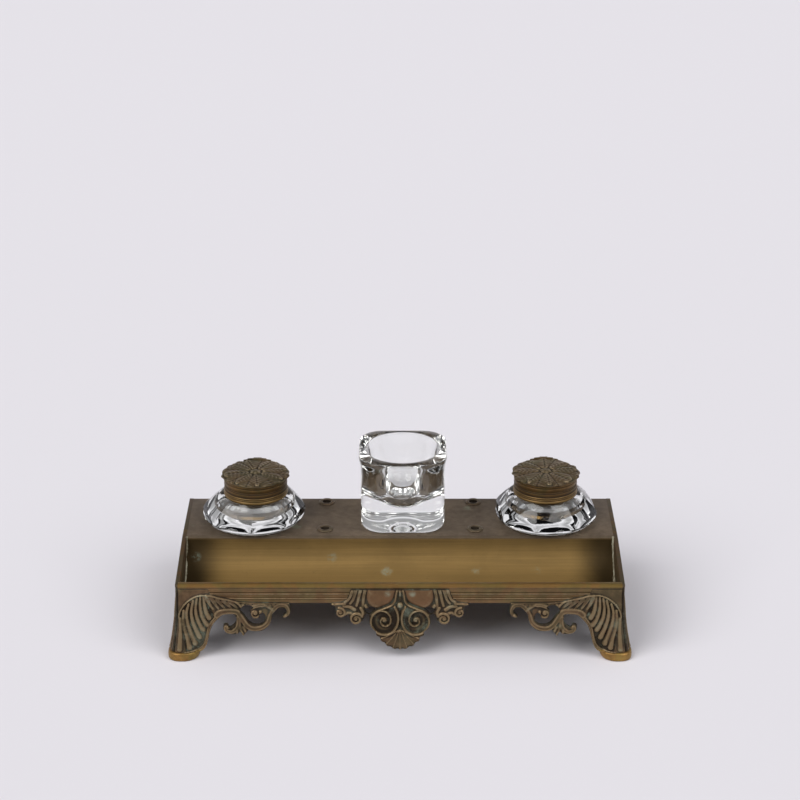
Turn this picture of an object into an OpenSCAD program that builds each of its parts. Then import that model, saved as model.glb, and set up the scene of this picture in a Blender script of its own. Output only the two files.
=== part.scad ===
// Brass desk inkstand: a raised deck with two hinged-lid ink bottles, a glass
// tumbler and four sockets for a pen rack, a long pen tray in front, and a
// pierced cast gallery with scroll feet all round. Millimetres, +Z up. The
// origin is on the desk, under the middle of the stand; the tray faces -Y.

/* [Stand] */
// Length of the stand over its sides, measured at the lip
stand_w = 270; // [264:1:290]
// Depth of the stand from the lip to the back
stand_d = 109; // [106:1:120]
// Height of the deck above the desk
deck_h = 55.5; // [50:0.5:62]
// How far the tray's front lip lies below the deck
lip_drop = 5.9; // [4.5:0.1:7]
// Thickness of the deck and tray sheet
sheet_t = 1.2; // [0.8:0.1:1.6]

/* [Pen tray] */
// Radius of the round trough
tray_r = 26.6; // [25:0.1:28]
// Height of the trough's centre line above the lip
tray_rise = 10; // [8:0.5:13]
// Thickness of the lip bar
lip_t = 2; // [1.2:0.1:3]
// Depth of the lip bar, front to back
lip_d = 3.6; // [3.2:0.1:5]

/* [Cast gallery] */
// Thickness of the front and back castings
casting_t = 2.2; // [1.8:0.1:3]
// Thickness of the side castings
side_t = 1.5; // [1.2:0.1:2]
// Thickness of the side plates' inner wall
wall_t = 1; // [0.8:0.1:1.5]
// Height of the reeded rail
rail_h = 10.5; // [9:0.5:12]
// Outward flare of the feet
foot_flare = 5.9; // [4:0.1:8]
// Height of the round toes
toe_h = 5.4; // [4:0.2:6.4]
// Radius of the round toes
toe_r = 9.2; // [8:0.1:10]
// Radius of the raised reeds on the rail
reed_r = 0.5; // [0.3:0.1:0.6]
// Width of the square posts inside the corners
post_w = 5; // [3:0.5:7]

// Height of the castings' main relief
relief_h = 1.2; // [0.6:0.1:1.4]

/* [Joining] */
// Leg of the angle strips under the deck
angle_leg = 6; // [4:0.5:8]
// Distance of the angle strips from the trough and the back casting
angle_gap = 3; // [1:0.5:5]
// Radius of the rivets' shanks
rivet_r = 0.9; // [0.6:0.1:1.2]
// Radius of the rivets' heads
rivet_head_r = 1.7; // [1.4:0.1:2.2]
// Height of the rivets' heads
rivet_head_h = 0.7; // [0.5:0.1:1]
// Distance between the two rivets of a row
rivet_gap = 30; // [20:1:34]

/* [Pen rack sockets] */
// Spacing of the sockets from left to right
socket_dx = 93.6; // [90:0.2:100]
// Distance of the front sockets behind the front edge of the deck
socket_gap = 10.4; // [8:0.1:12]
// Radius of the sockets' rims
socket_rim_r = 5.1; // [4.4:0.1:5.4]
// Height of the sockets' rims above the deck
socket_rim_h = 1.1; // [0.6:0.1:2]
// Radius of the sockets' shanks
socket_shank_r = 3; // [2.6:0.1:3.4]
// Radius of the sockets' bores
socket_bore_r = 1.75; // [1.2:0.05:2]
// Corner radius of the hexagonal nuts under the deck
nut_r = 4.3; // [4:0.1:4.5]
// Thickness of the nuts
nut_t = 2.4; // [1.5:0.1:4]

/* [Ink bottles] */
// Distance of each bottle from the middle of the stand
bottle_x = 92; // [88:1:98]
// Distance of the bottles behind the stand's centre line
bottle_y = 25.5; // [24:0.5:28]
// Radius of the bottles
bottle_r = 32.1; // [31:0.1:34]
// Radius of the bottles' feet
bottle_foot_r = 24.5; // [22:0.5:26]
// Height of the glass up to its shoulder
shoulder_h = 18.6; // [17:0.2:22]
// Radius of the bottles' shoulders under the collars
shoulder_r = 23; // [22.6:0.1:24]
// Radius of the glass necks
neck_r = 17; // [16:0.1:18]
// Height of the glass necks above the shoulder
neck_h = 10; // [8:0.5:11]
// Radius of the necks' mouths
mouth_r = 10.5; // [8:0.5:12]
// Radius of the ink wells
well_r = 22; // [18:0.5:23]
// Thickness of the bottles' floors
bottle_floor = 6; // [4:0.5:8]
// Sideways lean of the left bottle's neck
left_neck_dx = 1.7; // [0:0.1:2]
// Forward lean of the left bottle's neck
left_neck_dy = -1.4; // [-1.6:0.1:0]
// Sideways lean of the right bottle's neck
right_neck_dx = -0.9; // [-2:0.1:0]

/* [Collars and lids] */
// Radius of the brass collars
collar_r = 20.2; // [19.6:0.1:20.5]
// Height of the collars
collar_h = 12; // [11.5:0.1:14]
// Thickness of the cement between collar and glass
cement_t = 0.8; // [0.5:0.1:1]
// Height of the collars' turned beads
bead_h = 1.6; // [1:0.1:1.6]
// Radius of the lids
lid_r = 21.5; // [21.2:0.1:22]
// Thickness of the lids
lid_t = 2.4; // [2:0.1:3.2]
// Radius of the hinge knuckles
knuckle_r = 2; // [1.6:0.1:2.2]
// Length of each hinge knuckle
knuckle_len = 5; // [4:0.5:6]
// Radius of the hinge pins
pin_r = 0.75; // [0.6:0.05:0.9]

/* [Tumbler] */
// Distance of the tumbler to the right of the middle
tumbler_x = 1.2; // [-2:0.1:2]
// Distance of the tumbler behind the stand's centre line
tumbler_y = 28; // [27:0.5:28.5]
// Width of the tumbler's body
tumbler_w = 52; // [48:0.5:53]
// Width of the tumbler's rim
tumbler_rim_w = 55; // [53.5:0.5:56]
// Height of the tumbler
tumbler_h = 47.5; // [44:0.5:60]
// Height of the rim band
tumbler_rim_h = 4.4; // [3:0.2:6]
// Corner radius of the tumbler's body
tumbler_corner = 14; // [10:0.5:16]
// Thickness of the tumbler's heavy base
tumbler_floor = 18; // [14:0.5:22]
// Radius of the tumbler's bore at the rim
bore_top_r = 21.8; // [20:0.1:22.4]
// Radius of the tumbler's bore at its floor
bore_low_r = 15; // [13:0.5:18]

/* [Clearances] */
// Running clearance around the hinge pins
pin_gap = 0.05; // [0.02:0.01:0.1]
// Side play between neighbouring knuckles
knuckle_gap = 0.3; // [0.2:0.05:0.5]
// Clearance between an open lid and the knuckles
lid_gap = 0.3; // [0.2:0.05:0.5]

/* [Hidden] */
$fn = 96;

brass = "darkgoldenrod";
dark_brass = "saddlebrown";
glass = "lightcyan";

half_w = stand_w / 2;
half_d = stand_d / 2;
eps = 0.01;            // overlap of solids that are joined end to end
pin_fn = 48;           // sides drawn on knuckles and pins
rivet_fn = 32;         // sides drawn on rivets and reeds

lip_h = deck_h - lip_drop;             // top of the lip
frame_top = lip_h - lip_t;             // top of the castings, under the lip
rail_z = frame_top - rail_h;           // bottom of the reeded rail
inner_x = half_w - side_t - wall_t;    // inner face of the side plates
casting_x = half_w - side_t;           // ends of the lip and the front casting

tray_out_r = tray_r + sheet_t;
tray_zc = lip_h + tray_rise;
tray_yc = -half_d + casting_t + sqrt(pow(tray_out_r, 2) - pow(tray_zc - frame_top, 2));
tray_floor_z = tray_zc - tray_out_r;   // underside of the trough
deck_front = tray_yc + sqrt(pow(tray_r, 2) - pow(tray_zc - deck_h, 2));

panel_w = 31;          // width of the shell panel over a foot
rail_lap = 1.5;        // how far the scrollwork laps behind the rail's lower edge
rail_under = 5;        // how far the plain rail runs in behind a foot's panel
reed_from = 34;        // the reeds start beside the middle ornament
reed_rise = [3.2, 6.8]; // heights of the reeds above the rail's lower edge
side_from = 18;        // the point of foot_under where a side's scrollwork begins
side_hole_r = 3.2;     // eyes of the side ornament
side_hole_y = 7;
side_hole_drop = 9;    // drop of the eyes below the rail

angle_z = deck_h - sheet_t - angle_leg; // underside of the angle strips
angle_y0 = tray_yc + sqrt(pow(tray_out_r, 2) - pow(tray_zc - angle_z, 2)) + angle_gap;
angle_y1 = half_d - casting_t - angle_gap;
angle_y = (angle_y0 + angle_y1) / 2;    // middle of the strips
angle_rivet_z = deck_h - sheet_t - angle_leg / 2 - sheet_t / 2;
casting_rivet_z = frame_top - rail_h / 2;
rivet_inset = 0.5;     // brass left over a rivet's blind end

socket_edge = 6;       // distance of the rear sockets from the deck's rear edge
socket_dy = half_d - socket_edge - deck_front - socket_gap; // from the front row to the rear one
socket_y = half_d - socket_edge - socket_dy / 2; // middle of the sockets, front to back
socket_step = 0.8;     // how far a socket's upper ring steps in

left_x = -bottle_x + left_neck_dx;
right_x = bottle_x + right_neck_dx;

// Belly of the bottles: how far each ring stands in from the widest, and its height
// under a shoulder 18.6 mm up
drawn_shoulder_h = 18.6;
glass_belly = [[0.9, 2.4], [0, 3.8], [0, 6.3], [0.4, 8], [1.7, 10.2], [4.3, 13], [8.1, 17]];
glass_foot = [4.6, 0.9]; // first ring above the foot: how far it stands out, and its height
well_dome = 6;           // height of the well's rounded top
well_top = 0.6;          // glass left above the well, under the neck
mouth_step = 2.5;        // how much wider the well's top is than the mouth

collar_z = deck_h + shoulder_h;
lid_z = collar_z + collar_h;           // underside of the lids
hinge_z = lid_z - knuckle_r - lid_gap;
hinge_dy = collar_r + knuckle_r + lid_gap;
pin_half = 1.5 * knuckle_len + knuckle_gap;
web_in = 0.6;          // how far the lid's web stops short of its knuckle's back

side_ring_w = 1.6;     // width of the ring round a side's hole
toe_in = toe_r - foot_flare;           // centres of the toes, in from the corners

// How the feet flare: nothing at the given top, the full flare at the desk
flare_steps = 8;
flare_power = 2.2;
function flare(z, top) = foot_flare * pow(max(top - z, 0) / top, flare_power);
function side_edge(place) = [
    for (i = [0:flare_steps]) let (z = toe_h + (frame_top - toe_h) * i / flare_steps)
        [place + flare(z, frame_top), z]
];
function front_curve(place) = [
    for (i = [0:flare_steps]) let (z = toe_h + (rail_z - toe_h) * i / flare_steps)
        [place + flare(z, rail_z), z]
];
function front_edge(place) = [each front_curve(place), [place, frame_top]];

// Underside of a foot's scrollwork, from the rail to the toe, and the gap inside
// it: distance in from the corner, and height under a rail 37.1 mm up
drawn_rail_z = 37.1;
foot_under = [
    [68.5, 36], [69, 33], [68.5, 29.5], [66, 27.5], [64, 28], [65.5, 30], [66.5, 31], [66.5, 33],
    [65, 34.5], [62.5, 34.5], [60, 32], [58, 29.5], [57.5, 26], [55.5, 21.5], [52, 18.5], [49, 18],
    [45, 18.5], [43, 18.5], [41.5, 16.5], [40, 15], [38.5, 17.5], [36, 16], [32.5, 16], [29.5, 17.5],
    [28, 20], [28.5, 22.5], [30.5, 23], [32, 21], [34.5, 22.5], [36, 25], [36, 28], [34, 29.5],
    [30.5, 29.5], [27.5, 28.5], [24.5, 25.5], [22, 22.5], [20.3, 18], [19.6, 14], [18.6, 9.5],
    [16.6, 4.5], [14, 1.5], [12, 0]
];
scroll_gap = [
    [39, 34], [42, 36], [45, 35.5], [46.5, 34.5], [45, 32.5], [45, 30], [46, 27.5], [48.5, 27],
    [50, 28], [50.5, 30], [52, 30.5], [53.5, 29], [53.5, 26], [52, 23.5], [49, 22.5], [46, 23],
    [43.5, 25], [41, 29], [39, 31.5], [39, 34]
];
// The same for the ornament in the middle: distance from the middle, and height
centre_under = [
    [41.5, 36], [39, 34.5], [38.5, 30.5], [37, 28], [34.5, 27.5], [31.5, 29.5], [30.5, 28.5],
    [30, 25.5], [28, 23], [25.5, 23], [23, 24.5], [21.5, 28], [20, 30], [18.5, 28.5], [18.5, 23.5],
    [16.5, 20], [13.5, 17], [12.5, 14], [10, 11], [8, 8.5], [5, 7], [0, 6]
];
centre_gap = [[21, 33.5], [18, 34.5], [14.5, 33.5], [16.5, 31.5], [18.5, 29.5], [20.5, 31]];
// A side's scrollwork from the middle to the foot's first scroll
side_drop = [[0, 13.5], [4, 14.5], [6.5, 18], [9.5, 18]];

// Main relief. Ribs are a centre line, then half the width at its start and end; bosses are
// a centre and a radius. A foot's shell, and its leg's and scroll's ribs:
shell_ribs = [
    [[[2.3, 28.5], [2.6, 21], [2.2, 10.5]], 0.9, 0.6],
    [[[4.7, 33.5], [4.3, 24], [5.2, 17], [6.9, 10.5]], 1.1, 0.6],
    [[[8.2, 37.5], [6.6, 30], [7.4, 22], [11, 12]], 1.1, 0.6],
    [[[11.6, 40], [9.9, 33], [10.6, 25], [14, 15.5]], 1.1, 0.6],
    [[[15.6, 41.6], [14.4, 35], [15.4, 29], [18.6, 22.6]], 1.3, 0.6],
    [[[27.5, 30.6], [24.2, 27.6], [21, 23.8], [18.6, 18.5], [16.6, 11.5]], 1.4, 1.1]
];
foot_scroll = [[
    [26.8, 31.1], [32.6, 32], [37.2, 31.1], [39.9, 26.6], [42.4, 22.6], [45.2, 20.4], [48.9, 20.2],
    [52.6, 21.6], [55.5, 24.6], [56.8, 28.7], [58.4, 32.2], [60.9, 35.2], [63.8, 35.6]
], 1.8, 1.3];
foot_leaf = [[22, 40.5], [25.5, 39.8], [31, 38.6], [35.5, 37.4], [36.5, 34], [30, 33.6], [24.5, 33.2]];
foot_bosses = [[[47.6, 30.5], 2.6], [[31.6, 20.4], 1.9]];
// The middle ornament: a volute, the rays of its shell and the cheek above
volute = [[
    [1.8, 44.3], [2.8, 40.6], [5.3, 37], [10, 34.6], [14.2, 32.6], [16.6, 29.6], [17.3, 25.6],
    [16.3, 21.6], [13.4, 18.6], [9.6, 17.6], [5.8, 18.6], [3, 21.4], [1.9, 25.5], [2.6, 29.8]
], 0.9, 0.9];
volute_eye = [[9.3, 25.2], 4];
shell_rays = [[[2.6, 16], [4.4, 8.6], 0.6, 1.2], [[5.2, 16.4], [8.6, 11.4], 0.6, 1.2],
    [[7.6, 16.8], [12, 14.8], 0.6, 1]];
cheek = [[4.5, 45.5], [5, 42], [8, 38.2], [12, 36.4], [15.5, 36.6], [18, 39.5], [18.5, 43], [18, 45.5]];
centre_bosses = [[[26.3, 27.3], 3.4], [[35.2, 31.4], 2.8]];
pearl = [[0, 36.4], 2.2];
crown_leaf = [[21, 46], [21.5, 37], [25, 35.5], [29.5, 37.5], [32, 38.6], [29.5, 42], [29, 46]];

function fit(pts) = [for (p = pts) [p[0], p[1] * rail_z / drawn_rail_z]];
function flip(pts) = [for (i = [len(pts) - 1:-1:0]) [-pts[i][0], pts[i][1]]];
function backwards(pts) = [for (i = [len(pts) - 1:-1:0]) pts[i]];
function part_of(pts, first, last) = [for (i = [first:last]) pts[i]];

function blend(a, b, c, d, t) =
    0.5 * (2 * b + (c - a) * t + (2 * a - 5 * b + 4 * c - d) * t * t + (3 * b - a - 3 * c + d) * t * t * t);
function smooth(pts, n = 2) = [
    for (i = [0:len(pts) - 2], k = [0:n - 1])
        blend(pts[max(i - 1, 0)], pts[i], pts[i + 1], pts[min(i + 2, len(pts) - 1)], k / n),
    pts[len(pts) - 1]
];

// Stands a flat outline up so that its Y is up and it runs from y0 to y1
module along_y(y0, y1) {
    translate([0, y1, 0])
        rotate([90, 0, 0])
            linear_extrude(y1 - y0)
                children();
}

// Stands a flat outline up so that its X is the stand's Y and it runs from x0 to x1
module along_x(x0, x1) {
    translate([x0, 0, 0])
        rotate([90, 0, 90])
            linear_extrude(x1 - x0)
                children();
}

module both() {
    children();
    mirror([1, 0, 0]) children();
}

// Sections of the walls that flare outwards below, seen along the wall
module front_section(proud = 0) {
    polygon([
        each front_edge(half_d + proud), each backwards(front_edge(half_d + proud - casting_t))
    ]);
}

module side_section(proud = 0) {
    polygon([each side_edge(half_w + proud), each backwards(side_edge(casting_x + proud))]);
}

// A rib along a centre line, with half its width at the start and the end
module rib(line, from, to) {
    last = len(line) - 1;
    function off(i, side) =
        let (run = line[min(i + 1, last)] - line[max(i - 1, 0)])
            line[i] + side * (from + (to - from) * i / last) * [-run[1], run[0]] / norm(run);
    polygon([each [for (i = [0:last]) off(i, 1)], each [for (i = [last:-1:0]) off(i, -1)]]);
}

module boss(b) {
    translate(fit([b[0]])[0]) circle(b[1]);
}

// ---- front and back castings ---------------------------------------------

// A foot and its scrollwork, with the corner at u = 0 and the outer edge given from the desk up
module foot_outline(outer) {
    difference() {
        polygon([
            each smooth(fit(foot_under)), each outer,
            [panel_w, frame_top], [panel_w, rail_z + rail_lap], [foot_under[0][0], rail_z + rail_lap]
        ]);
        polygon(smooth(fit(scroll_gap)));
    }
}

// The rail, plain, with the ornament that hangs from its middle
module rail_outline() {
    half = smooth(fit(centre_under));
    rail_end = half_w - panel_w + rail_under;
    difference() {
        polygon([
            [rail_end, frame_top], [rail_end, rail_z], [centre_under[0][0], rail_z],
            each half, each flip(half), [-centre_under[0][0], rail_z],
            [-rail_end, rail_z], [-rail_end, frame_top]
        ]);
        polygon(fit(centre_gap));
        mirror([1, 0]) polygon(fit(centre_gap));
    }
}

module front_foot() {
    outer = [for (p = side_edge(-side_t)) [-p[0], p[1]]];
    translate([-half_w + toe_in, -half_d + toe_in, 0]) cylinder(r = toe_r, h = toe_h);
    intersection() {
        along_y(-half_d - foot_flare - 1, -half_d + casting_t + 1)
            translate([-half_w, 0]) foot_outline(outer);
        mirror([0, 1, 0]) along_x(-half_w - foot_flare, -half_w + foot_under[0][0] + 2)
            front_section();
    }
    intersection() {
        along_y(-half_d - 2 * foot_flare, -half_d + casting_t / 2) translate([-half_w, 0]) {
            for (r = [each shell_ribs, foot_scroll]) rib(fit(r[0]), r[1], r[2]);
            polygon(fit(foot_leaf));
            for (b = foot_bosses) boss(b);
        }
        mirror([0, 1, 0]) along_x(-half_w, -half_w + foot_under[0][0]) front_section(relief_h);
    }
}

// What stands proud of the middle ornament
module centre_relief() {
    both_halves() {
        rib(fit(volute[0]), volute[1], volute[2]);
        boss(volute_eye);
        for (r = shell_rays) rib(fit([r[0], r[1]]), r[2], r[3]);
        polygon(fit(cheek));
        polygon(fit(crown_leaf));
        for (b = centre_bosses) boss(b);
    }
    boss(pearl);
}

module both_halves() {
    children();
    mirror([1, 0]) children();
}

module reeds() {
    reed_to = half_w - panel_w;
    both() for (rise = reed_rise)
        translate([reed_from, -half_d, rail_z + rise])
            rotate([0, 90, 0]) cylinder(r = reed_r, h = reed_to - reed_from, $fn = rivet_fn);
}

module gallery() {
    along_y(-half_d, -half_d + casting_t) rail_outline();
    along_y(-half_d - relief_h, -half_d + casting_t / 2) centre_relief();
    both() front_foot();
    reeds();
}

module front_casting() color(brass) gallery();
module back_casting() color(brass) mirror([0, 1, 0]) gallery();

// ---- side castings ---------------------------------------------------------

// Half of a side's outline from the middle to the corner, as distances from the middle
side_foot = part_of(foot_under, side_from, len(foot_under) - 1);
function side_half() = [
    each smooth(fit([each side_drop, for (p = side_foot) [half_d - p[0], p[1]]])),
    each front_edge(half_d)
];

function from_middle(pts) = [for (p = pts) [half_d - p[0], p[1]]];
side_scroll = [part_of(foot_scroll[0], 0, 6), 1.8, 1.5]; // a side's scroll ends at the eye

module side_casting() {
    difference() {
        intersection() {
            along_x(-half_w - foot_flare - 1, -half_w + 1) difference() {
                polygon([each side_half(), each flip(side_half())]);
                for (s = [-1, 1]) translate([s * side_hole_y, rail_z - side_hole_drop]) circle(side_hole_r);
            }
            mirror([1, 0, 0]) along_y(-half_d - foot_flare - 1, half_d + foot_flare + 1)
                side_section();
        }
        rivet_places(casting_rivet_z) rivet_shank();
    }
    intersection() {
        along_x(-half_w - 2 * foot_flare, -half_w + side_t / 2) both_halves() {
            for (r = [each shell_ribs, side_scroll]) rib(fit(from_middle(r[0])), r[1], r[2]);
            polygon(fit(from_middle(foot_leaf)));
            difference() {
                side_eye(side_hole_r + side_ring_w);
                side_eye(side_hole_r);
            }
        }
        mirror([1, 0, 0]) along_y(-half_d, half_d) side_section(relief_h);
    }
}

module side_eye(r) {
    translate([side_hole_y, rail_z - side_hole_drop]) circle(r);
}

module side_casting_left() color(brass) side_casting();
module side_casting_right() color(brass) mirror([1, 0, 0]) side_casting();

// ---- posts inside the corners ----------------------------------------------

module corner_post() {
    side_face = side_edge(casting_x);
    front_face = front_curve(half_d - casting_t);
    intersection() {
        mirror([1, 0, 0]) along_y(-half_d - foot_flare, -half_d + 2 * post_w)
            polygon([each side_face, each backwards(side_edge(casting_x - post_w))]);
        mirror([0, 1, 0]) along_x(-half_w - foot_flare, -half_w + 2 * post_w)
            polygon([each front_face, each backwards(front_curve(half_d - casting_t - post_w))]);
        translate([-half_w - foot_flare, -half_d - foot_flare, toe_h])
            cube([3 * post_w, 3 * post_w, tray_floor_z - 1 - toe_h]);
    }
}

module corner_post_front_left() color(dark_brass) corner_post();
module corner_post_front_right() color(dark_brass) mirror([1, 0, 0]) corner_post();
module corner_post_back_left() color(dark_brass) mirror([0, 1, 0]) corner_post();
module corner_post_back_right() color(dark_brass) mirror([1, 0, 0]) mirror([0, 1, 0]) corner_post();

// ---- deck, tray, lip and plates ---------------------------------------------

// Section of the sheet: the flat deck, and the round trough in front of it
module sheet_profile() {
    difference() {
        union() {
            translate([tray_yc, deck_h - sheet_t]) square([half_d - tray_yc, sheet_t]);
            translate([tray_yc, tray_zc]) circle(tray_out_r);
        }
        translate([tray_yc, tray_zc]) circle(tray_r);
        translate([-half_d, deck_h]) square([stand_d + 1, 4 * tray_r]);
        translate([-half_d - 1, frame_top]) square([tray_yc + half_d, 4 * tray_r]);
    }
}

module socket_places() {
    for (x = [-1, 1], y = [-1, 1])
        translate([x * socket_dx / 2, socket_y + y * socket_dy / 2, deck_h]) children();
}

module deck_tray_sheet() color("rosybrown") difference() {
    along_x(-inner_x, inner_x) sheet_profile();
    socket_places() translate([0, 0, -2 * sheet_t]) cylinder(r = socket_shank_r, h = 3 * sheet_t);
}

module tray_lip() color("goldenrod")
    translate([-casting_x, -half_d, frame_top]) cube([2 * casting_x, lip_d, lip_t]);

// Side view of the plates' rim: level with the deck, then sloping down to the lip
module rim_outline() {
    polygon([
        [-half_d, frame_top], [half_d, frame_top], [half_d, deck_h],
        [deck_front, deck_h], [-half_d + lip_d, lip_h], [-half_d, lip_h]
    ]);
}

module side_plate() {
    difference() {
        union() {
            along_x(-half_w, -inner_x) rim_outline();
            translate([-casting_x, -half_d + lip_d, tray_floor_z])
                cube([wall_t, stand_d - lip_d - casting_t, frame_top + lip_t / 2 - tray_floor_z]);
        }
        translate([-casting_x, -half_d - 1, frame_top]) cube([side_t + wall_t, lip_d + 1, lip_t + 1]);
        rivet_places(angle_rivet_z) rivet_shank();
        rivet_places(casting_rivet_z) rivet_shank();
    }
}

module side_plate_left() color(dark_brass) side_plate();
module side_plate_right() color(dark_brass) mirror([1, 0, 0]) side_plate();

module back_plate() color(dark_brass)
    translate([-inner_x, half_d - sheet_t, frame_top])
        cube([2 * inner_x, sheet_t, deck_h - sheet_t - frame_top]);

// ---- angle strips and rivets -----------------------------------------------

module rivet_places(z) {
    for (s = [-1, 1])
        translate([-half_w + rivet_inset, angle_y + s * rivet_gap / 2, z]) rotate([0, 90, 0]) children();
}

module rivet_shank() cylinder(r = rivet_r, h = 2 * (side_t + wall_t + sheet_t), $fn = rivet_fn);

module rivet(grip) {
    cylinder(r = rivet_r, h = grip, $fn = rivet_fn);
    translate([0, 0, grip]) cylinder(r = rivet_head_r, h = rivet_head_h, $fn = rivet_fn);
}

module angle_strip() {
    difference() {
        translate([-inner_x, angle_y0, angle_z]) {
            cube([sheet_t, angle_y1 - angle_y0, angle_leg]);
            translate([0, 0, angle_leg - sheet_t]) cube([angle_leg, angle_y1 - angle_y0, sheet_t]);
        }
        rivet_places(angle_rivet_z) rivet_shank();
    }
}

module deck_angle_left() color(dark_brass) angle_strip();
module deck_angle_right() color(dark_brass) mirror([1, 0, 0]) angle_strip();

module frame_rivets() color("gold") both() {
    rivet_places(angle_rivet_z) rivet(half_w - rivet_inset - inner_x + sheet_t);
    rivet_places(casting_rivet_z) rivet(half_w - rivet_inset - inner_x);
}

// ---- pen rack sockets --------------------------------------------------------

module pen_rack_sockets() color(brass) socket_places() difference() {
    union() {
        cylinder(r = socket_rim_r, h = socket_rim_h / 2);
        cylinder(r = socket_rim_r - socket_step, h = socket_rim_h);
        translate([0, 0, -sheet_t - nut_t]) cylinder(r = socket_shank_r, h = sheet_t + nut_t + eps);
    }
    translate([0, 0, -deck_h / 2]) cylinder(r = socket_bore_r, h = deck_h);
}

module socket_nuts() color(dark_brass) socket_places() translate([0, 0, -sheet_t - nut_t]) difference() {
    cylinder(r = nut_r, h = nut_t, $fn = 6);
    translate([0, 0, -1]) cylinder(r = socket_shank_r, h = nut_t + 2);
}

// ---- ink bottles ---------------------------------------------------------------

// Moves to the middle of a bottle's neck, at the level of its shoulder
module at_neck(dx, dy) {
    translate([dx, bottle_y + dy, collar_z]) children();
}

// Outer profile of the glass, from the middle of its foot to its shoulder
module glass_profile() {
    polygon([
        [0, 0], [bottle_foot_r, 0], [bottle_foot_r + glass_foot[0], glass_foot[1]],
        for (p = glass_belly) [bottle_r - p[0], p[1] * shoulder_h / drawn_shoulder_h],
        [shoulder_r, shoulder_h], [0, shoulder_h]
    ]);
}

module well_profile() {
    polygon([
        [0, bottle_floor], [well_r - 2, bottle_floor], [well_r, bottle_floor + 2],
        [well_r, shoulder_h - well_dome], [mouth_r + mouth_step, shoulder_h - well_top],
        [0, shoulder_h - well_top]
    ]);
}

module ink_bottle(x, dx, dy) {
    difference() {
        union() {
            translate([x, bottle_y, deck_h]) rotate_extrude() glass_profile();
            at_neck(x + dx, dy) translate([0, 0, -1]) cylinder(r = neck_r, h = neck_h + 1);
        }
        translate([x, bottle_y, deck_h]) rotate_extrude() well_profile();
        at_neck(x + dx, dy) translate([0, 0, -4 * well_top]) cylinder(r = mouth_r, h = 2 * neck_h);
    }
}

module neck_cement(x, dy) at_neck(x, dy) difference() {
    cylinder(r = neck_r + cement_t, h = neck_h);
    translate([0, 0, -1]) cylinder(r = neck_r, h = neck_h + 2);
}

// Section of a collar's wall: a plain band with two beads above it
module collar_profile() {
    inner = neck_r + cement_t;
    plain_h = collar_h - 2 * bead_h - 0.8;
    translate([inner, 0]) square([collar_r - inner - 0.4, collar_h]);
    translate([inner, 0]) square([collar_r - inner, plain_h]);
    for (i = [0, 1])
        translate([inner, plain_h + 0.4 + i * (bead_h + 0.2)])
            square([collar_r - inner - 0.1 - 0.4 * i, bead_h - 0.2]);
}

// A hinge knuckle along X, centred on the hinge axis, with a hole of its own radius
module knuckle_solid(x0, x1) {
    translate([x0, 0, 0]) rotate([0, 90, 0]) cylinder(r = knuckle_r, h = x1 - x0, $fn = pin_fn);
}

module pin_hole(r) {
    translate([-2 * pin_half, 0, 0]) rotate([0, 90, 0]) cylinder(r = r, h = 4 * pin_half, $fn = pin_fn);
}

module at_hinge(x, dy) {
    translate([x, bottle_y + dy + hinge_dy, hinge_z]) children();
}

module collar(x, dy) {
    at_neck(x, dy) rotate_extrude() collar_profile();
    at_hinge(x, dy) difference() {
        for (s = [-1, 1]) {
            x0 = s > 0 ? knuckle_len / 2 + knuckle_gap : -pin_half;
            knuckle_solid(x0, x0 + knuckle_len);
            translate([x0, -hinge_dy + collar_r - 2, -knuckle_r])
                cube([knuckle_len, hinge_dy - collar_r + 2, knuckle_r]);
        }
        pin_hole(pin_r);
        // keep the webs out of the collar's mouth
        translate([0, -hinge_dy, -collar_h]) cylinder(r = collar_r - 1, h = 2 * collar_h);
    }
}

module lid(x, dy) {
    at_neck(x, dy) translate([0, 0, collar_h]) difference() {
        union() {
            cylinder(r = lid_r, h = lid_t * 0.6);
            cylinder(r = lid_r - 1, h = lid_t);
        }
        translate([0, 0, -1]) cylinder(r = mouth_r - 1.5, h = 1.6);
    }
    at_hinge(x, dy) difference() {
        union() {
            knuckle_solid(-knuckle_len / 2, knuckle_len / 2);
            translate([-knuckle_len / 2, -knuckle_r, 0])
                cube([knuckle_len, 2 * knuckle_r - web_in, lid_z - hinge_z + eps]);
            translate([-knuckle_len / 2, -knuckle_r - web_in, lid_z - hinge_z])
                cube([knuckle_len, 2 * knuckle_r, lid_t / 2]);
        }
        pin_hole(pin_r + pin_gap);
    }
}

module hinge_pin(x, dy) at_hinge(x, dy)
    translate([-pin_half, 0, 0]) rotate([0, 90, 0]) cylinder(r = pin_r, h = 2 * pin_half, $fn = pin_fn);

module ink_bottle_left() color(glass) ink_bottle(-bottle_x, left_neck_dx, left_neck_dy);
module ink_bottle_right() color(glass) ink_bottle(bottle_x, right_neck_dx, 0);
module neck_cement_left() color("ivory") neck_cement(left_x, left_neck_dy);
module neck_cement_right() color("ivory") neck_cement(right_x, 0);
module collar_left() color(brass) collar(left_x, left_neck_dy);
module collar_right() color(brass) collar(right_x, 0);
module lid_left() color("olive") lid(left_x, left_neck_dy);
module lid_right() color("olive") lid(right_x, 0);
module hinge_pin_left() color("gold") hinge_pin(left_x, left_neck_dy);
module hinge_pin_right() color("gold") hinge_pin(right_x, 0);

// ---- tumbler ---------------------------------------------------------------------

module rounded_square(w, r) {
    square([w, w - 2 * r], center = true);
    square([w - 2 * r, w], center = true);
    for (x = [-1, 1], y = [-1, 1])
        translate([x, y] * (w / 2 - r)) circle(r);
}

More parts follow.
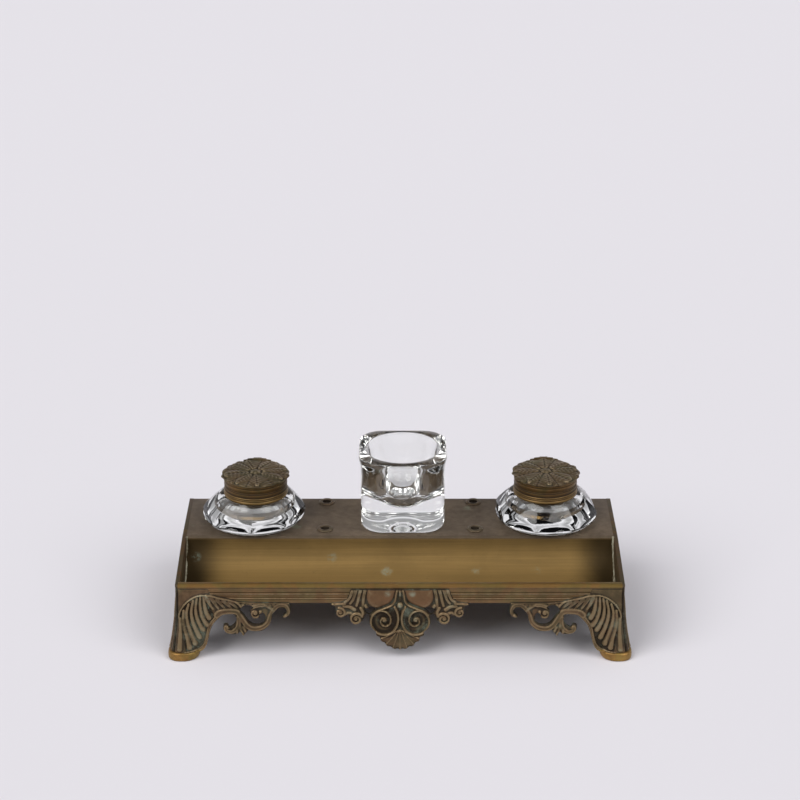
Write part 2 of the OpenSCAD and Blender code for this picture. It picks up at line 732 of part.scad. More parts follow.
module tumbler() color(glass) translate([tumbler_x, tumbler_y, deck_h]) difference() {
    union() {
        linear_extrude(tumbler_h) rounded_square(tumbler_w, tumbler_corner);
        translate([0, 0, tumbler_h - tumbler_rim_h])
            linear_extrude(tumbler_rim_h)
                rounded_square(tumbler_rim_w, tumbler_corner + (tumbler_rim_w - tumbler_w) / 2);
    }
    translate([0, 0, tumbler_floor])
        cylinder(r1 = bore_low_r, r2 = bore_top_r, h = tumbler_h - tumbler_floor + eps);
}

deck_tray_sheet();
tray_lip();
side_plate_left();
side_plate_right();
back_plate();
front_casting();
back_casting();
side_casting_left();
side_casting_right();
corner_post_front_left();
corner_post_front_right();
corner_post_back_left();
corner_post_back_right();
deck_angle_left();
deck_angle_right();
frame_rivets();
pen_rack_sockets();
socket_nuts();
tumbler();
ink_bottle_left();
ink_bottle_right();
neck_cement_left();
neck_cement_right();
collar_left();
collar_right();
lid_left();
lid_right();
hinge_pin_left();
hinge_pin_right();
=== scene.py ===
"""Dresses a brass desk inkstand: castings, sheet, glass and fittings over its fixed frame."""

import math

import bmesh
import bpy
import numpy as np
from bpy.props import FloatProperty, FloatVectorProperty, IntProperty, PointerProperty
from mathutils.geometry import delaunay_2d_cdt
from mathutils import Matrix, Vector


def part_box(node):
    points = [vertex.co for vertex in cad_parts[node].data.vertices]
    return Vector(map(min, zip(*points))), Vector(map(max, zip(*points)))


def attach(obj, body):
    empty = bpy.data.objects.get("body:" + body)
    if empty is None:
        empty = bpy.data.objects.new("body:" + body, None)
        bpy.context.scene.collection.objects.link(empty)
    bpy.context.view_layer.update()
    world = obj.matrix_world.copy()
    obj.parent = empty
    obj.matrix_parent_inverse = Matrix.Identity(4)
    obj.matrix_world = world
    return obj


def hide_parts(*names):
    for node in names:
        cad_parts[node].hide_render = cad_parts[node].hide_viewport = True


bl_info = {
    "name": "Desk Inkstand",
    "version": (1, 0, 0),
    "blender": (4, 5, 0),
    "location": "3D View > Sidebar > Inkstand",
    "description": "Models and finishes the castings, sheet, glass and fittings of a desk inkstand",
    "category": "Object",
}

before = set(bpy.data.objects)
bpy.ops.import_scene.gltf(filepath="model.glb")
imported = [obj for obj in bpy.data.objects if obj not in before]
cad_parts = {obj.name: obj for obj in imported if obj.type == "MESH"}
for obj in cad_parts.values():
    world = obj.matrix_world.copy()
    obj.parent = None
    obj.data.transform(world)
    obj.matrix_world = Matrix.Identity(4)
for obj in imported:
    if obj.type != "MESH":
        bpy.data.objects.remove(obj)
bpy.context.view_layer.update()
MM = 0.001


def node_box(node):
    """Lowest and highest corner of a CAD node, in millimetres."""
    low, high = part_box(node)
    return np.array(low) / MM, np.array(high) / MM


SHEET_LOW, SHEET_HIGH = node_box("deck_tray_sheet")
LIP_LOW, LIP_HIGH = node_box("tray_lip")
PLATE_LOW, PLATE_HIGH = node_box("side_plate_left")
CASTING_LOW = node_box("front_casting")[0]

HALF_W = -PLATE_LOW[0]  # the stand at its corners
HALF_D = -LIP_LOW[1]
FRAME_TOP = LIP_LOW[2]  # where the castings end under the lip
DECK_Z = SHEET_HIGH[2]
LIP_Z = LIP_HIGH[2]
RAIL_H = 10.5
RAIL_Z = FRAME_TOP - RAIL_H
FLARE = -CASTING_LOW[0] - HALF_W  # how far the toes reach past the corners
TOE_R = 9.2
TOE_H = 5.4
TOE_IN = TOE_R - FLARE  # from the corners to the middles of the toes, both ways
SOLE_Z = TOE_H - 0.2  # lower edge of the carved plates, sunk in the toes
PLATE_TOP = FRAME_TOP - 1.05  # upper edge of the front ones, behind the rail
CASTING_T = 2.4  # thickness of the front and back castings
CASTING_OUT = 0.5  # how far their ground stands out from the stand's corners
SIDE_T = 1.5  # thickness of the side castings
SHEET_T = 1.2
TILT = math.tan(math.radians(22.7))  # rise of the sight line that the carving was drawn along

BOTTLES = {  # middle of each glass body, and of its neck
    "left": ((-92.0, 25.5), (-90.3, 24.1)),
    "right": ((92.0, 25.5), (91.1, 25.5)),
}
SHOULDER_Z = DECK_Z + 18.6
COLLAR_TOP = SHOULDER_Z + 12.0

TROUGH_R = 26.6
TROUGH_Z = LIP_Z + 10.0
TROUGH_MIDDLE = (
    SHEET_LOW[1] + math.sqrt((TROUGH_R + SHEET_T) ** 2 - (TROUGH_Z - FRAME_TOP) ** 2),
    TROUGH_Z,
)
SOCKET_BOX = node_box("pen_rack_sockets")
SHANK_R = 3.0
SOCKETS = [
    (x, y)
    for x in (SOCKET_BOX[0][0] + 5.1, SOCKET_BOX[1][0] - 5.1)
    for y in (SOCKET_BOX[0][1] + 5.1, SOCKET_BOX[1][1] - 5.1)
]
TUMBLER_CORNER_R = 14.0


# ---- settings a user would change ----------------------------------------------------


def colour(name, note, value):
    """A colour setting."""
    return FloatVectorProperty(
        name=name, description=note, default=value, subtype="COLOR", size=3, min=0.0, max=1.0
    )


def length(name, note, value, low, high):
    """A setting given in millimetres and kept in metres."""
    return FloatProperty(
        name=name, description=note, default=value * MM, min=low * MM, max=high * MM, unit="LENGTH"
    )


def number(name, note, value, low, high):
    """A setting that counts something."""
    return IntProperty(name=name, description=note, default=value, min=low, max=high)


class InkstandSizes(bpy.types.PropertyGroup):
    """Sizes of the fine work."""

    carving_depth: length(
        "Carving depth", "Height of the highest scrolls above the castings' ground", 1.5, 0.2, 3
    )
    carving_grain: length(
        "Carving grain", "Distance between the points that shape the castings", 0.45, 0.25, 2
    )
    lid_relief: length("Lid relief", "Height of the leaves on the lids", 1.3, 0.2, 2)
    lid_leaves: number("Lid leaves", "Leaves round each lid", 8, 5, 16)
    bottle_panels: number("Bottle panels", "Panels round the well of each bottle", 8, 6, 12)
    edge_wear: length("Edge rounding", "Rounding of the sheet brass's worn edges", 0.35, 0.05, 0.6)


class InkstandColours(bpy.types.PropertyGroup):
    """Colours of the brass, its tarnish and the glass."""

    brass: colour("Brass", "Rubbed brass", (0.36, 0.225, 0.075))
    tarnish: colour("Tarnish", "Brown tarnish", (0.105, 0.072, 0.042))
    deck: colour("Deck", "Grey-brown tarnish of the deck", (0.098, 0.073, 0.050))
    # Dirt in pits, and also painted shade in the carving's hollows, the castings' backs and the
    # socket bores
    shadow: colour("Grime", "Dirt in the hollows", (0.018, 0.013, 0.009))
    verdigris: colour("Verdigris", "Pale green bloom in the carving", (0.27, 0.33, 0.25))
    glass: colour("Glass", "Tint of the clear glass", (0.985, 0.995, 0.985))
    backdrop: colour("Backdrop", "Floor and wall of the studio", (0.725, 0.71, 0.755))


def sizes():
    return bpy.context.scene.inkstand_sizes


def colours():
    return bpy.context.scene.inkstand_colours


# ---- shader building -----------------------------------------------------------------


class Value:
    """A number in a material: arithmetic on it adds Math nodes."""

    def __init__(self, paint, socket):
        self.paint, self.socket = paint, socket

    def maths(self, operation, *values, clamp=False):
        return self.paint.node(
            "ShaderNodeMath", {"operation": operation, "use_clamp": clamp}, list(values)
        )

    def __add__(self, other):
        return self.maths("ADD", self, other)

    def __radd__(self, other):
        return self.maths("ADD", other, self)

    def __sub__(self, other):
        return self.maths("SUBTRACT", self, other)

    def __rsub__(self, other):
        return self.maths("SUBTRACT", other, self)

    def __mul__(self, other):
        return self.maths("MULTIPLY", self, other)

    def __neg__(self):
        return self.maths("MULTIPLY", self, -1.0)

    def clamped(self):
        return self.maths("ADD", self, 0.0, clamp=True)

    def high(self, other):
        return self.maths("MAXIMUM", self, other)

    def size(self):
        return self.maths("ABSOLUTE", self)

    def step(self, start, end):
        """0 below start, 1 above end, smooth between."""
        return self.paint.node(
            "ShaderNodeMapRange",
            {"interpolation_type": "SMOOTHSTEP"},
            {"Value": self, "From Min": start, "From Max": end},
        )


FINISH = "_finish"  # sets these materials' names apart from those of the CAD's slots


class Paint:
    """One material, or the world, and the nodes in it."""

    def __init__(self, name, world=None):
        self.material = world or bpy.data.materials.new(name + FINISH)
        self.material.use_nodes = True
        self.tree = self.material.node_tree
        self.tree.nodes.clear()
        self.place = self.node("ShaderNodeTexCoord", {}, {}, "Generated" if world else "Object")

    def node(self, kind, settings, inputs, output=0):
        """Adds a node: its settings first, then its sockets, and gives one of its outputs."""
        new = self.tree.nodes.new(kind)
        for name, value in settings.items():
            setattr(new, name, value)
        pairs = enumerate(inputs) if isinstance(inputs, list) else inputs.items()
        for name, value in pairs:
            socket = new.inputs[name]
            if isinstance(value, Value):
                self.tree.links.new(value.socket, socket)
            elif isinstance(value, bpy.types.NodeSocket):
                self.tree.links.new(value, socket)
            elif isinstance(value, tuple) and len(value) == 3 and socket.type == "RGBA":
                socket.default_value = (*value, 1.0)
            else:
                socket.default_value = value
        found = new.outputs[output]
        return Value(self, found) if found.type == "VALUE" else found

    def stretched(self, x, y, z):
        """Object coordinates scaled along each axis."""
        return self.node(
            "ShaderNodeMapping", {}, {"Vector": self.place, "Scale": (x, y, z)}, "Vector"
        )

    def noise(self, scale, detail=4.0, roughness=0.55, where=None, warp=0.0):
        return self.node(
            "ShaderNodeTexNoise",
            {},
            {
                "Vector": where or self.place,
                "Scale": scale,
                "Detail": detail,
                "Roughness": roughness,
                "Distortion": warp,
            },
            "Fac",
        )

    def cells(self, scale):
        return self.node(
            "ShaderNodeTexVoronoi",
            {"feature": "F1"},
            {"Vector": self.place, "Scale": scale},
            "Distance",
        )

    def axis(self, index):
        return self.node("ShaderNodeSeparateXYZ", {}, [self.place], index)

    def attribute(self, name):
        return self.node("ShaderNodeAttribute", {"attribute_name": name}, {}, "Fac")

    def mix(self, amount, first, second):
        return self.node(
            "ShaderNodeMix",
            {"data_type": "RGBA", "clamp_factor": True},
            {0: amount, 6: first, 7: second},
            2,
        )

    def times(self, first, second):
        return self.node(
            "ShaderNodeMix",
            {"data_type": "RGBA", "blend_type": "MULTIPLY"},
            {0: 1.0, 6: first, 7: second},
            2,
        )

    def shader(self, normal=None, **sockets):
        """Finishes the material with one Principled shader."""
        inputs = {name.replace("_", " "): value for name, value in sockets.items()}
        if normal is not None:
            inputs["Normal"] = normal
        surface = self.node("ShaderNodeBsdfPrincipled", {}, inputs)
        out = self.tree.nodes.new("ShaderNodeOutputMaterial")
        self.tree.links.new(surface, out.inputs["Surface"])
        return self.material

    def bump(self, height, strength, distance):
        inputs = {"Height": height, "Strength": strength, "Distance": distance}
        return self.node("ShaderNodeBump", {}, inputs, "Normal")


# ---- finishes ------------------------------------------------------------------------


PITTING = 0.25  # how dark the dirt in the brass's pits is
METAL = 0.6  # how metallic tarnished brass is


def aged_brass(
    name, bright, dull, rubbed, worn=0.5, roughness=0.45, green=0.0, grain=None, carved=False
):
    """Old brass: clouds of tarnish over rubbed metal, with dirt, painted shade and bloom in what is
    carved.
    """
    paint, tints = Paint(name), colours()
    clouds = paint.noise(38.0, 6.0, 0.62, warp=0.5)
    mottle = paint.noise(210.0, 5.0, 0.65)
    fine = paint.noise(1900.0, 3.0, 0.6)
    bare = clouds * 0.5 + mottle * 0.5
    if grain:
        streaks = paint.noise(1.0, 5.0, 0.7, where=paint.stretched(*grain))
        bare = bare * 0.6 + streaks * 0.4
    bare = bare.step(0.56 - 0.3 * worn, 0.80 - 0.3 * worn)
    tone = paint.mix(bare, dull, bright)
    glaze = paint.noise(85.0, 4.0, 0.6, warp=0.4).step(0.40, 0.60)
    tone = paint.times(tone, paint.mix(glaze, (1.08, 0.96, 0.86), (0.94, 1.0, 0.86)))
    rough = roughness + 0.06 - bare * 0.08
    shine = METAL + bare * 0.1
    if carved:
        relief = paint.attribute("raised")
        copper = paint.attribute("copper")
        patchy = mottle * 0.7 + fine * 0.3
        high = (relief * 1.3 + patchy * 0.9 - 0.45).step(0.15, 0.6)
        # Hollows darken with grime and painted shade; marked backs and bores take the painted shade
        # too
        hollow = (-relief * 1.4 + patchy * 0.5 - 0.15).step(0.18, 0.62)
        bloom = (paint.attribute("bloom") + (-relief).high(0.0) * 0.4) * (
            clouds * 0.6 + patchy * 0.6
        ).step(0.56, 0.74)
        bloom = (bloom * green).clamped()
        tone = paint.mix(copper * (0.55 + bare * 0.35), tone, (0.17, 0.088, 0.042))
        tone = paint.mix(high * 0.75, tone, rubbed)
        tone = paint.mix(hollow * 0.8, tone, tuple(tints.shadow))
        tone = paint.mix(bloom, tone, tuple(tints.verdigris))
        rough = rough - high * 0.06 + (hollow + bloom).clamped() * 0.25
        shine = shine - bloom * 0.6 - hollow * 0.2
    elif green:
        spots = paint.cells(95.0) + paint.noise(300.0, 4.0, 0.6) * 0.5
        spots = (1.0 - spots).step(0.66, 0.78) * clouds.step(0.5, 0.62) * green
        tone = paint.mix(spots, tone, tuple(tints.verdigris))
        shine = shine - spots * 0.5
        rough = rough + spots * 0.3
    flecks = (mottle * 0.5 + fine * 0.5).step(0.60, 0.68)
    tone = paint.mix(flecks * PITTING, tone, tuple(tints.shadow))
    bumps = mottle * 0.35 + fine * 0.4
    if grain:
        bumps = bumps * 0.4 + streaks * 0.8
    return paint.shader(
        Base_Color=tone,
        Metallic=shine.clamped(),
        Roughness=rough.clamped(),
        Specular_IOR_Level=0.3,
        normal=paint.bump(bumps, 0.35, 0.00012),
    )


def tint(value, by):
    """A colour made lighter or darker."""
    return tuple(min(1.0, c * by) for c in value)


def make_finishes():
    t = colours()
    brass, tarnish, deck = tuple(t.brass), tuple(t.tarnish), tuple(t.deck)
    along = (14.0, 900.0, 900.0)
    around = (160.0, 160.0, 2600.0)
    rubbed = (0.25, 0.178, 0.096)
    sheet_finish()
    aged_brass("lip_brass", tint(brass, 0.63), tint(brass, 0.46), rubbed, 0.7, 0.42, 0.1, along)
    aged_brass("plate_brass", tint(brass, 0.42), deck, rubbed, 0.35, 0.5, 0.4)
    aged_brass(
        "cast_brass", tint(tarnish, 1.55), tint(tarnish, 0.85), rubbed, green=0.85, carved=True
    )
    aged_brass(
        "rail_brass", (0.225, 0.15, 0.075), (0.125, 0.083, 0.045), (0.42, 0.31, 0.19), 0.5, 0.43,
        0.3, along, True,
    )
    aged_brass("toe_brass", tint(brass, 0.95), tint(brass, 0.55), rubbed, 0.6, 0.42, 0.1)
    aged_brass("rough_brass", tint(brass, 0.6), tarnish, rubbed, 0.4, 0.5, 0.3)
    aged_brass(
        "socket_brass", tint(deck, 1.6), tint(deck, 1.0), tint(deck, 2.2), 0.45, 0.45, carved=True
    )
    aged_brass(
        "collar_brass", (0.16, 0.10, 0.038), (0.085, 0.055, 0.024), (0.25, 0.16, 0.06), 0.5, 0.42,
        0.0, around, True,
    )
    aged_brass(
        "lid_brass", (0.18, 0.138, 0.084), (0.10, 0.076, 0.046), (0.29, 0.225, 0.14), 0.5, 0.45,
        0.15, None, True,
    )
    solder_finish()
    cement_finish()
    glass_finish()


def sheet_finish():
    """Rolled sheet: grey-brown and dull on the level deck, brushed golden in the trough, with
    tarnish and painted shade at the trough's ends, painted shade along the fold and painted light
    at the trough's bottom.
    """
    paint, t = Paint("sheet_brass"), colours()
    brass, deck, grime = tuple(t.brass), tuple(t.deck), tuple(t.shadow)
    height = paint.axis(2)
    streaks = paint.noise(1.0, 6.0, 0.72, where=paint.stretched(9.0, 700.0, 700.0))
    wide = paint.noise(1.0, 3.0, 0.5, where=paint.stretched(7.0, 60.0, 60.0), warp=0.3)
    clouds = paint.noise(30.0, 6.0, 0.62, warp=0.4)
    mottle = paint.noise(260.0, 5.0, 0.65)
    fine = paint.noise(2100.0, 3.0, 0.6)
    golden = (wide * 0.35 + streaks * 0.4 + clouds * 0.25).step(0.4, 0.6)
    trough = paint.mix(golden, tint(brass, 0.47), tint(brass, 0.68))
    level = paint.mix(
        (clouds * 0.6 + mottle * 0.4).step(0.36, 0.66), tint(deck, 1.2), tint(deck, 2.1)
    )
    on_deck = height.step((DECK_Z - 2.4) * MM, (DECK_Z - 0.5) * MM)
    tone = paint.mix(on_deck, trough, level)
    # Tarnish and painted shade: the trough darkens towards its ends
    ends = (paint.axis(0).size() + clouds * 0.012).step(0.109, 0.131) * (1.0 - on_deck)
    tone = paint.mix(ends * 0.92, tone, tint(brass, 0.10))
    # Painted light: the bottom of the trough is painted lighter to even out its shading
    low = (1.0 - height.step(0.031, 0.045)) * (1.0 - ends)
    tone = paint.mix(low * 0.55, tone, tint(brass, 0.95))
    # Painted shade: a darker band along the fold between deck and trough damps the fold's highlight
    fold = height.step((DECK_Z - 1.6) * MM, (DECK_Z - 0.6) * MM) * (
        1.0 - height.step((DECK_Z - 0.12) * MM, (DECK_Z - 0.02) * MM)
    )
    tone = paint.mix(fold * 0.55, tone, tint(deck, 0.6))
    spots = (1.0 - paint.cells(42.0)).step(0.80, 0.93) * mottle.step(0.42, 0.6)
    tone = paint.mix(spots * 0.6, tone, tint(t.verdigris, 0.7))
    flecks = (mottle * 0.45 + fine * 0.55).step(0.6, 0.67)
    tone = paint.mix(flecks * (0.35 + on_deck * 0.2), tone, grime)
    rough = 0.5 + on_deck * 0.08 - golden * 0.03 + spots * 0.25
    bumps = paint.bump(streaks * 0.7 + fine * 0.3, 0.3, 0.00012)
    return paint.shader(
        Base_Color=tone,
        Metallic=(0.6 - on_deck * 0.1 - spots * 0.5).clamped(),
        Roughness=rough.clamped(),
        Specular_IOR_Level=0.25,
        normal=bumps,
    )


def solder_finish():
    """Dull grey solder, blotched."""
    paint = Paint("solder")
    blotch = paint.noise(240.0, 5.0, 0.6)
    tone = paint.mix(blotch.step(0.38, 0.62), (0.16, 0.135, 0.085), (0.42, 0.40, 0.30))
    return paint.shader(
        Base_Color=tone,
        Metallic=0.3,
        Roughness=(0.5 + blotch * 0.2).clamped(),
        normal=paint.bump(blotch, 0.5, 0.0002),
    )


def cement_finish():
    """Gritty pale cement."""
    paint = Paint("cement")
    grit = paint.noise(900.0, 5.0, 0.65)
    tone = paint.mix(grit.step(0.35, 0.65), (0.30, 0.26, 0.21), (0.46, 0.42, 0.35))
    return paint.shader(Base_Color=tone, Roughness=0.85, normal=paint.bump(grit, 0.4, 0.0002))


def glass_finish():
    """Clear glass, barely rippled."""
    paint, t = Paint("clear_glass"), colours()
    ripple = paint.noise(90.0, 2.0, 0.4)
    return paint.shader(
        Base_Color=(*t.glass, 1.0),
        Roughness=0.0,
        IOR=1.5,
        Transmission_Weight=1.0,
        normal=paint.bump(ripple, 0.2, 0.0004),
    )


# ---- making meshes -------------------------------------------------------------------


def pick(*objects):
    """Selects only these objects, the first one active."""
    bpy.ops.object.select_all(action="DESELECT")
    for thing in objects:
        thing.select_set(True)
    bpy.context.view_layer.objects.active = objects[0]


def in_edit_mode(piece, *steps):
    """Runs each step on the whole mesh, in edit mode."""
    pick(piece)
    bpy.ops.object.mode_set(mode="EDIT")
    bpy.ops.mesh.select_all(action="SELECT")
    for step in steps:
        step()
    bpy.ops.object.mode_set(mode="OBJECT")


def weld():
    bpy.ops.mesh.remove_doubles(threshold=2e-6)


def face_out():
    bpy.ops.mesh.select_all(action="SELECT")
    bpy.ops.mesh.normals_make_consistent(inside=False)


def close_ends():
    """Fills the open edges of a tube."""
    bpy.ops.mesh.select_mode(type="EDGE")
    bpy.ops.mesh.select_all(action="DESELECT")
    bpy.ops.mesh.select_non_manifold(extend=False)
    bpy.ops.mesh.fill(use_beauty=True)


def rolled(name, rings, ends_open=False):
    """A grid rolled into rings of points, in millimetres. A ring of one point closes an end."""
    rings = np.asarray(rings, float)
    rings = np.concatenate([rings, rings[:, :1]], axis=1)
    bpy.ops.object.select_all(action="DESELECT")
    bpy.ops.mesh.primitive_grid_add(
        x_subdivisions=rings.shape[1] - 1, y_subdivisions=rings.shape[0] - 1, size=0.1
    )
    piece = bpy.context.object
    piece.name = piece.data.name = name
    piece.data.vertices.foreach_set("co", (rings * MM).ravel())
    piece.data.update()
    in_edit_mode(piece, weld, *([close_ends] if ends_open else []), face_out)
    return piece


def level_ring(centre, reach, z, turn):
    """Points round an upright axis; reach and z may be a number or one for each point."""
    return np.column_stack(
        [centre[0] + reach * np.cos(turn), centre[1] + reach * np.sin(turn), np.full(len(turn), z)]
    )


def turned(name, centre, profile, steps):
    """A profile of (radius, height) points turned round an upright axis."""
    turn = np.linspace(0, 2 * math.pi, steps, endpoint=False)
    return rolled(name, [level_ring(centre, r, z, turn) for r, z in profile])


def swept(name, profile, x0, x1, stations=2):
    """A closed profile of (y, z) points drawn along X, with filled ends."""
    profile = np.asarray(profile, float)
    rings = [
        np.column_stack([np.full(len(profile), x), profile[:, 0], profile[:, 1]])
        for x in np.linspace(x0, x1, stations)
    ]
    return rolled(name, rings, ends_open=True)


def tube(name, middle, radii):
    """A round bar along a line of points, thick as radii says at each of them."""
    run = np.gradient(middle, axis=0)
    run /= np.linalg.norm(run, axis=1)[:, None]
    side = np.cross(run, [0.0, 1.0, 0.0])
    side /= np.linalg.norm(side, axis=1)[:, None]
    up = np.cross(side, run)
    turn = np.linspace(0, 2 * math.pi, 12, endpoint=False)
    rings = [
        m + r * (np.cos(turn)[:, None] * s + np.sin(turn)[:, None] * u)
        for m, r, s, u in zip(middle, radii, side, up)
    ]
    return rolled(name, rings, ends_open=True)


def modify(piece, kind, **settings):
    """Adds a modifier and applies it."""
    pick(piece)
    modifier = piece.modifiers.new(kind.title(), kind)
    for name, value in settings.items():
        setattr(modifier, name, value)
    bpy.ops.object.modifier_apply(modifier=modifier.name)
    return piece


def bevelled(piece, width):
    """A piece with its sharp edges rounded."""
    return modify(
        piece,
        "BEVEL",
        width=width,
        segments=2,
        limit_method="ANGLE",
        angle_limit=math.radians(35.0),
        use_clamp_overlap=True,
    )


def copied(name, node):
    """A welded copy of a CAD node's mesh, as a piece of its own."""
    piece = bpy.data.objects.new(name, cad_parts[node].data.copy())
    bpy.context.collection.objects.link(piece)
    in_edit_mode(
        piece, weld, lambda: bpy.ops.mesh.dissolve_limited(angle_limit=math.radians(1.5)), face_out
    )
    return piece


def cut_behind(node, y):
    """The hinge knuckles of a CAD node: what lies behind a plane, with its edges softened."""
    knuckles = copied("knuckles", node)
    in_edit_mode(
        knuckles,
        lambda: bpy.ops.mesh.bisect(
            plane_co=(0, y * MM, 0), plane_no=(0, 1, 0), use_fill=True, clear_inner=True
        ),
    )
    return bevelled(knuckles, 0.25 * MM)


def mirrored(name, piece, axis):
    """A copy of a piece on the other side of the stand, with its own mesh."""
    pick(piece)
    bpy.ops.object.duplicate(linked=False)
    other = bpy.context.object
    other.name = other.data.name = name
    points = np.empty(len(other.data.vertices) * 3)
    other.data.vertices.foreach_get("co", points)
    points = points.reshape(-1, 3)
    points[:, axis] *= -1
    other.data.vertices.foreach_set("co", points.ravel())
    in_edit_mode(other, bpy.ops.mesh.flip_normals)
    return other


def joined(name, *pieces):
    """Makes several meshes into one piece."""
    pick(*pieces)
    bpy.ops.object.join()
    piece = bpy.context.object
    piece.name = piece.data.name = name
    return piece


def coordinates(piece):
    """The points of a mesh, in millimetres."""
    points = np.empty(len(piece.data.vertices) * 3)
    piece.data.vertices.foreach_get("co", points)
    return points.reshape(-1, 3) / MM


def store(piece, name, values):
    """Keeps a number for each point of the mesh, for its finish to read."""
    layer = piece.data.attributes.new(name, "FLOAT", "POINT")
    layer.data.foreach_set("value", np.asarray(values, np.float32))


def settle(piece, body, finish, *nodes, slot=None, crease=40.0):
    """Shades a piece, gives it its finish, and lets it ride in place of its CAD nodes.

    slot is not used.
    """
    pick(piece)
    bpy.ops.object.shade_smooth_by_angle(angle=math.radians(crease))
    piece.data.materials.clear()
    piece.data.materials.append(bpy.data.materials[finish + FINISH])
    if nodes:
        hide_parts(*nodes)
    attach(piece, body)


# ---- lines and carving ---------------------------------------------------------------


def spline(points, step=0.4):
    """A smooth curve through the points, as points about step apart."""
    p = np.asarray(points, float)
    p = np.vstack([2 * p[0] - p[1], p, 2 * p[-1] - p[-2]])
    out = []
    for a, b, c, d in zip(p, p[1:], p[2:], p[3:]):
        n = max(2, int(np.hypot(*(c - b)) / step))
        t = np.arange(n)[:, None] / n
        out.append(
            0.5
            * (
                2 * b
                + (c - a) * t
                + (2 * a - 5 * b + 4 * c - d) * t**2
                + (3 * b - a - 3 * c + d) * t**3
            )
        )
    return np.vstack([*out, p[-2:-1]])


def even(points, step):
    """The same line with points about step apart."""
    p = np.asarray(points, float)
    lengths = np.concatenate([[0], np.cumsum(np.hypot(*np.diff(p, axis=0).T))])
    marks = np.linspace(0, lengths[-1], max(3, int(lengths[-1] / step)))
    return np.column_stack([np.interp(marks, lengths, p[:, i]) for i in (0, 1)])


def snail(centre, radius, start, turns, end=0.12):
    """A spiral that winds in from the radius at the start angle; a negative turn is clockwise."""
    t = np.linspace(0, 1, int(40 * abs(turns)) + 8)
    angle = math.radians(start) + t * turns * 2 * math.pi
    r = radius * (1 - t * (1 - end))
    return np.column_stack([centre[0] + r * np.cos(angle), centre[1] + r * np.sin(angle)])


def arc(centre, radius, start, end, steps):
    """Points along part of a circle, from the start angle to the end."""
    turn = np.linspace(start, end, steps)
    return [(centre[0] + radius * math.cos(a), centre[1] + radius * math.sin(a)) for a in turn]


def circle(centre, radius):
    """A closed line round a point."""
    turn = np.linspace(0, 2 * math.pi, 40)
    return np.column_stack([centre[0] + radius * np.cos(turn), centre[1] + radius * np.sin(turn)])


def square_reach(turn, half, corner):
    """Distance from the middle of a rounded square to its side, in each direction."""
    folded = np.abs((turn + math.pi / 4) % (math.pi / 2) - math.pi / 4)
    side = half / np.cos(folded)
    a = half - corner
    along = a * (np.cos(folded) + np.sin(folded))
    bend = along + np.sqrt(np.maximum(along**2 - 2 * a**2 + corner**2, 0))
    return np.where(half * np.tan(folded) > a, bend, side)


def smooth_step(start, end, value):
    """0 below start, 1 above end, smooth between."""
    t = np.clip((value - start) / (end - start), 0, 1)
    return t * t * (3 - 2 * t)


def polar(x, y):
    """The angle and the distance of each point."""
    return np.arctan2(y, x), np.hypot(x, y)


def nearest(points, line):
    """How far each point is from a line, and how far along the line it is, from 0 to 1."""
    a, b = line[:-1], line[1:]
    run = b - a
    squared = np.maximum((run**2).sum(1), 1e-9)
    best = np.full(len(points), 1e9)
    along = np.zeros(len(points))
    for i in range(len(a)):
        offset = points - a[i]
        t = np.clip(offset @ run[i] / squared[i], 0, 1)
        away = np.hypot(*(offset - t[:, None] * run[i]).T)
        closer = away < best
        best[closer] = away[closer]
        along[closer] = (i + t[closer]) / len(a)
    return best, along


def closed(loop):
    """A loop as a line that ends where it starts."""
    loop = np.asarray(loop, float)
    return np.vstack([loop, loop[:1]])


def inside(points, *loops):
    """Which points lie inside an odd number of closed loops."""
    result = np.zeros(len(points), bool)
    x, y = points.T
    for loop in loops:
        for (x0, y0), (x1, y1) in zip(loop, np.roll(loop, -1, axis=0)):
            if y0 != y1:
                crosses = (y0 > y) != (y1 > y)
                result ^= crosses & (x < (x1 - x0) * (y - y0) / (y1 - y0) + x0)
    return result


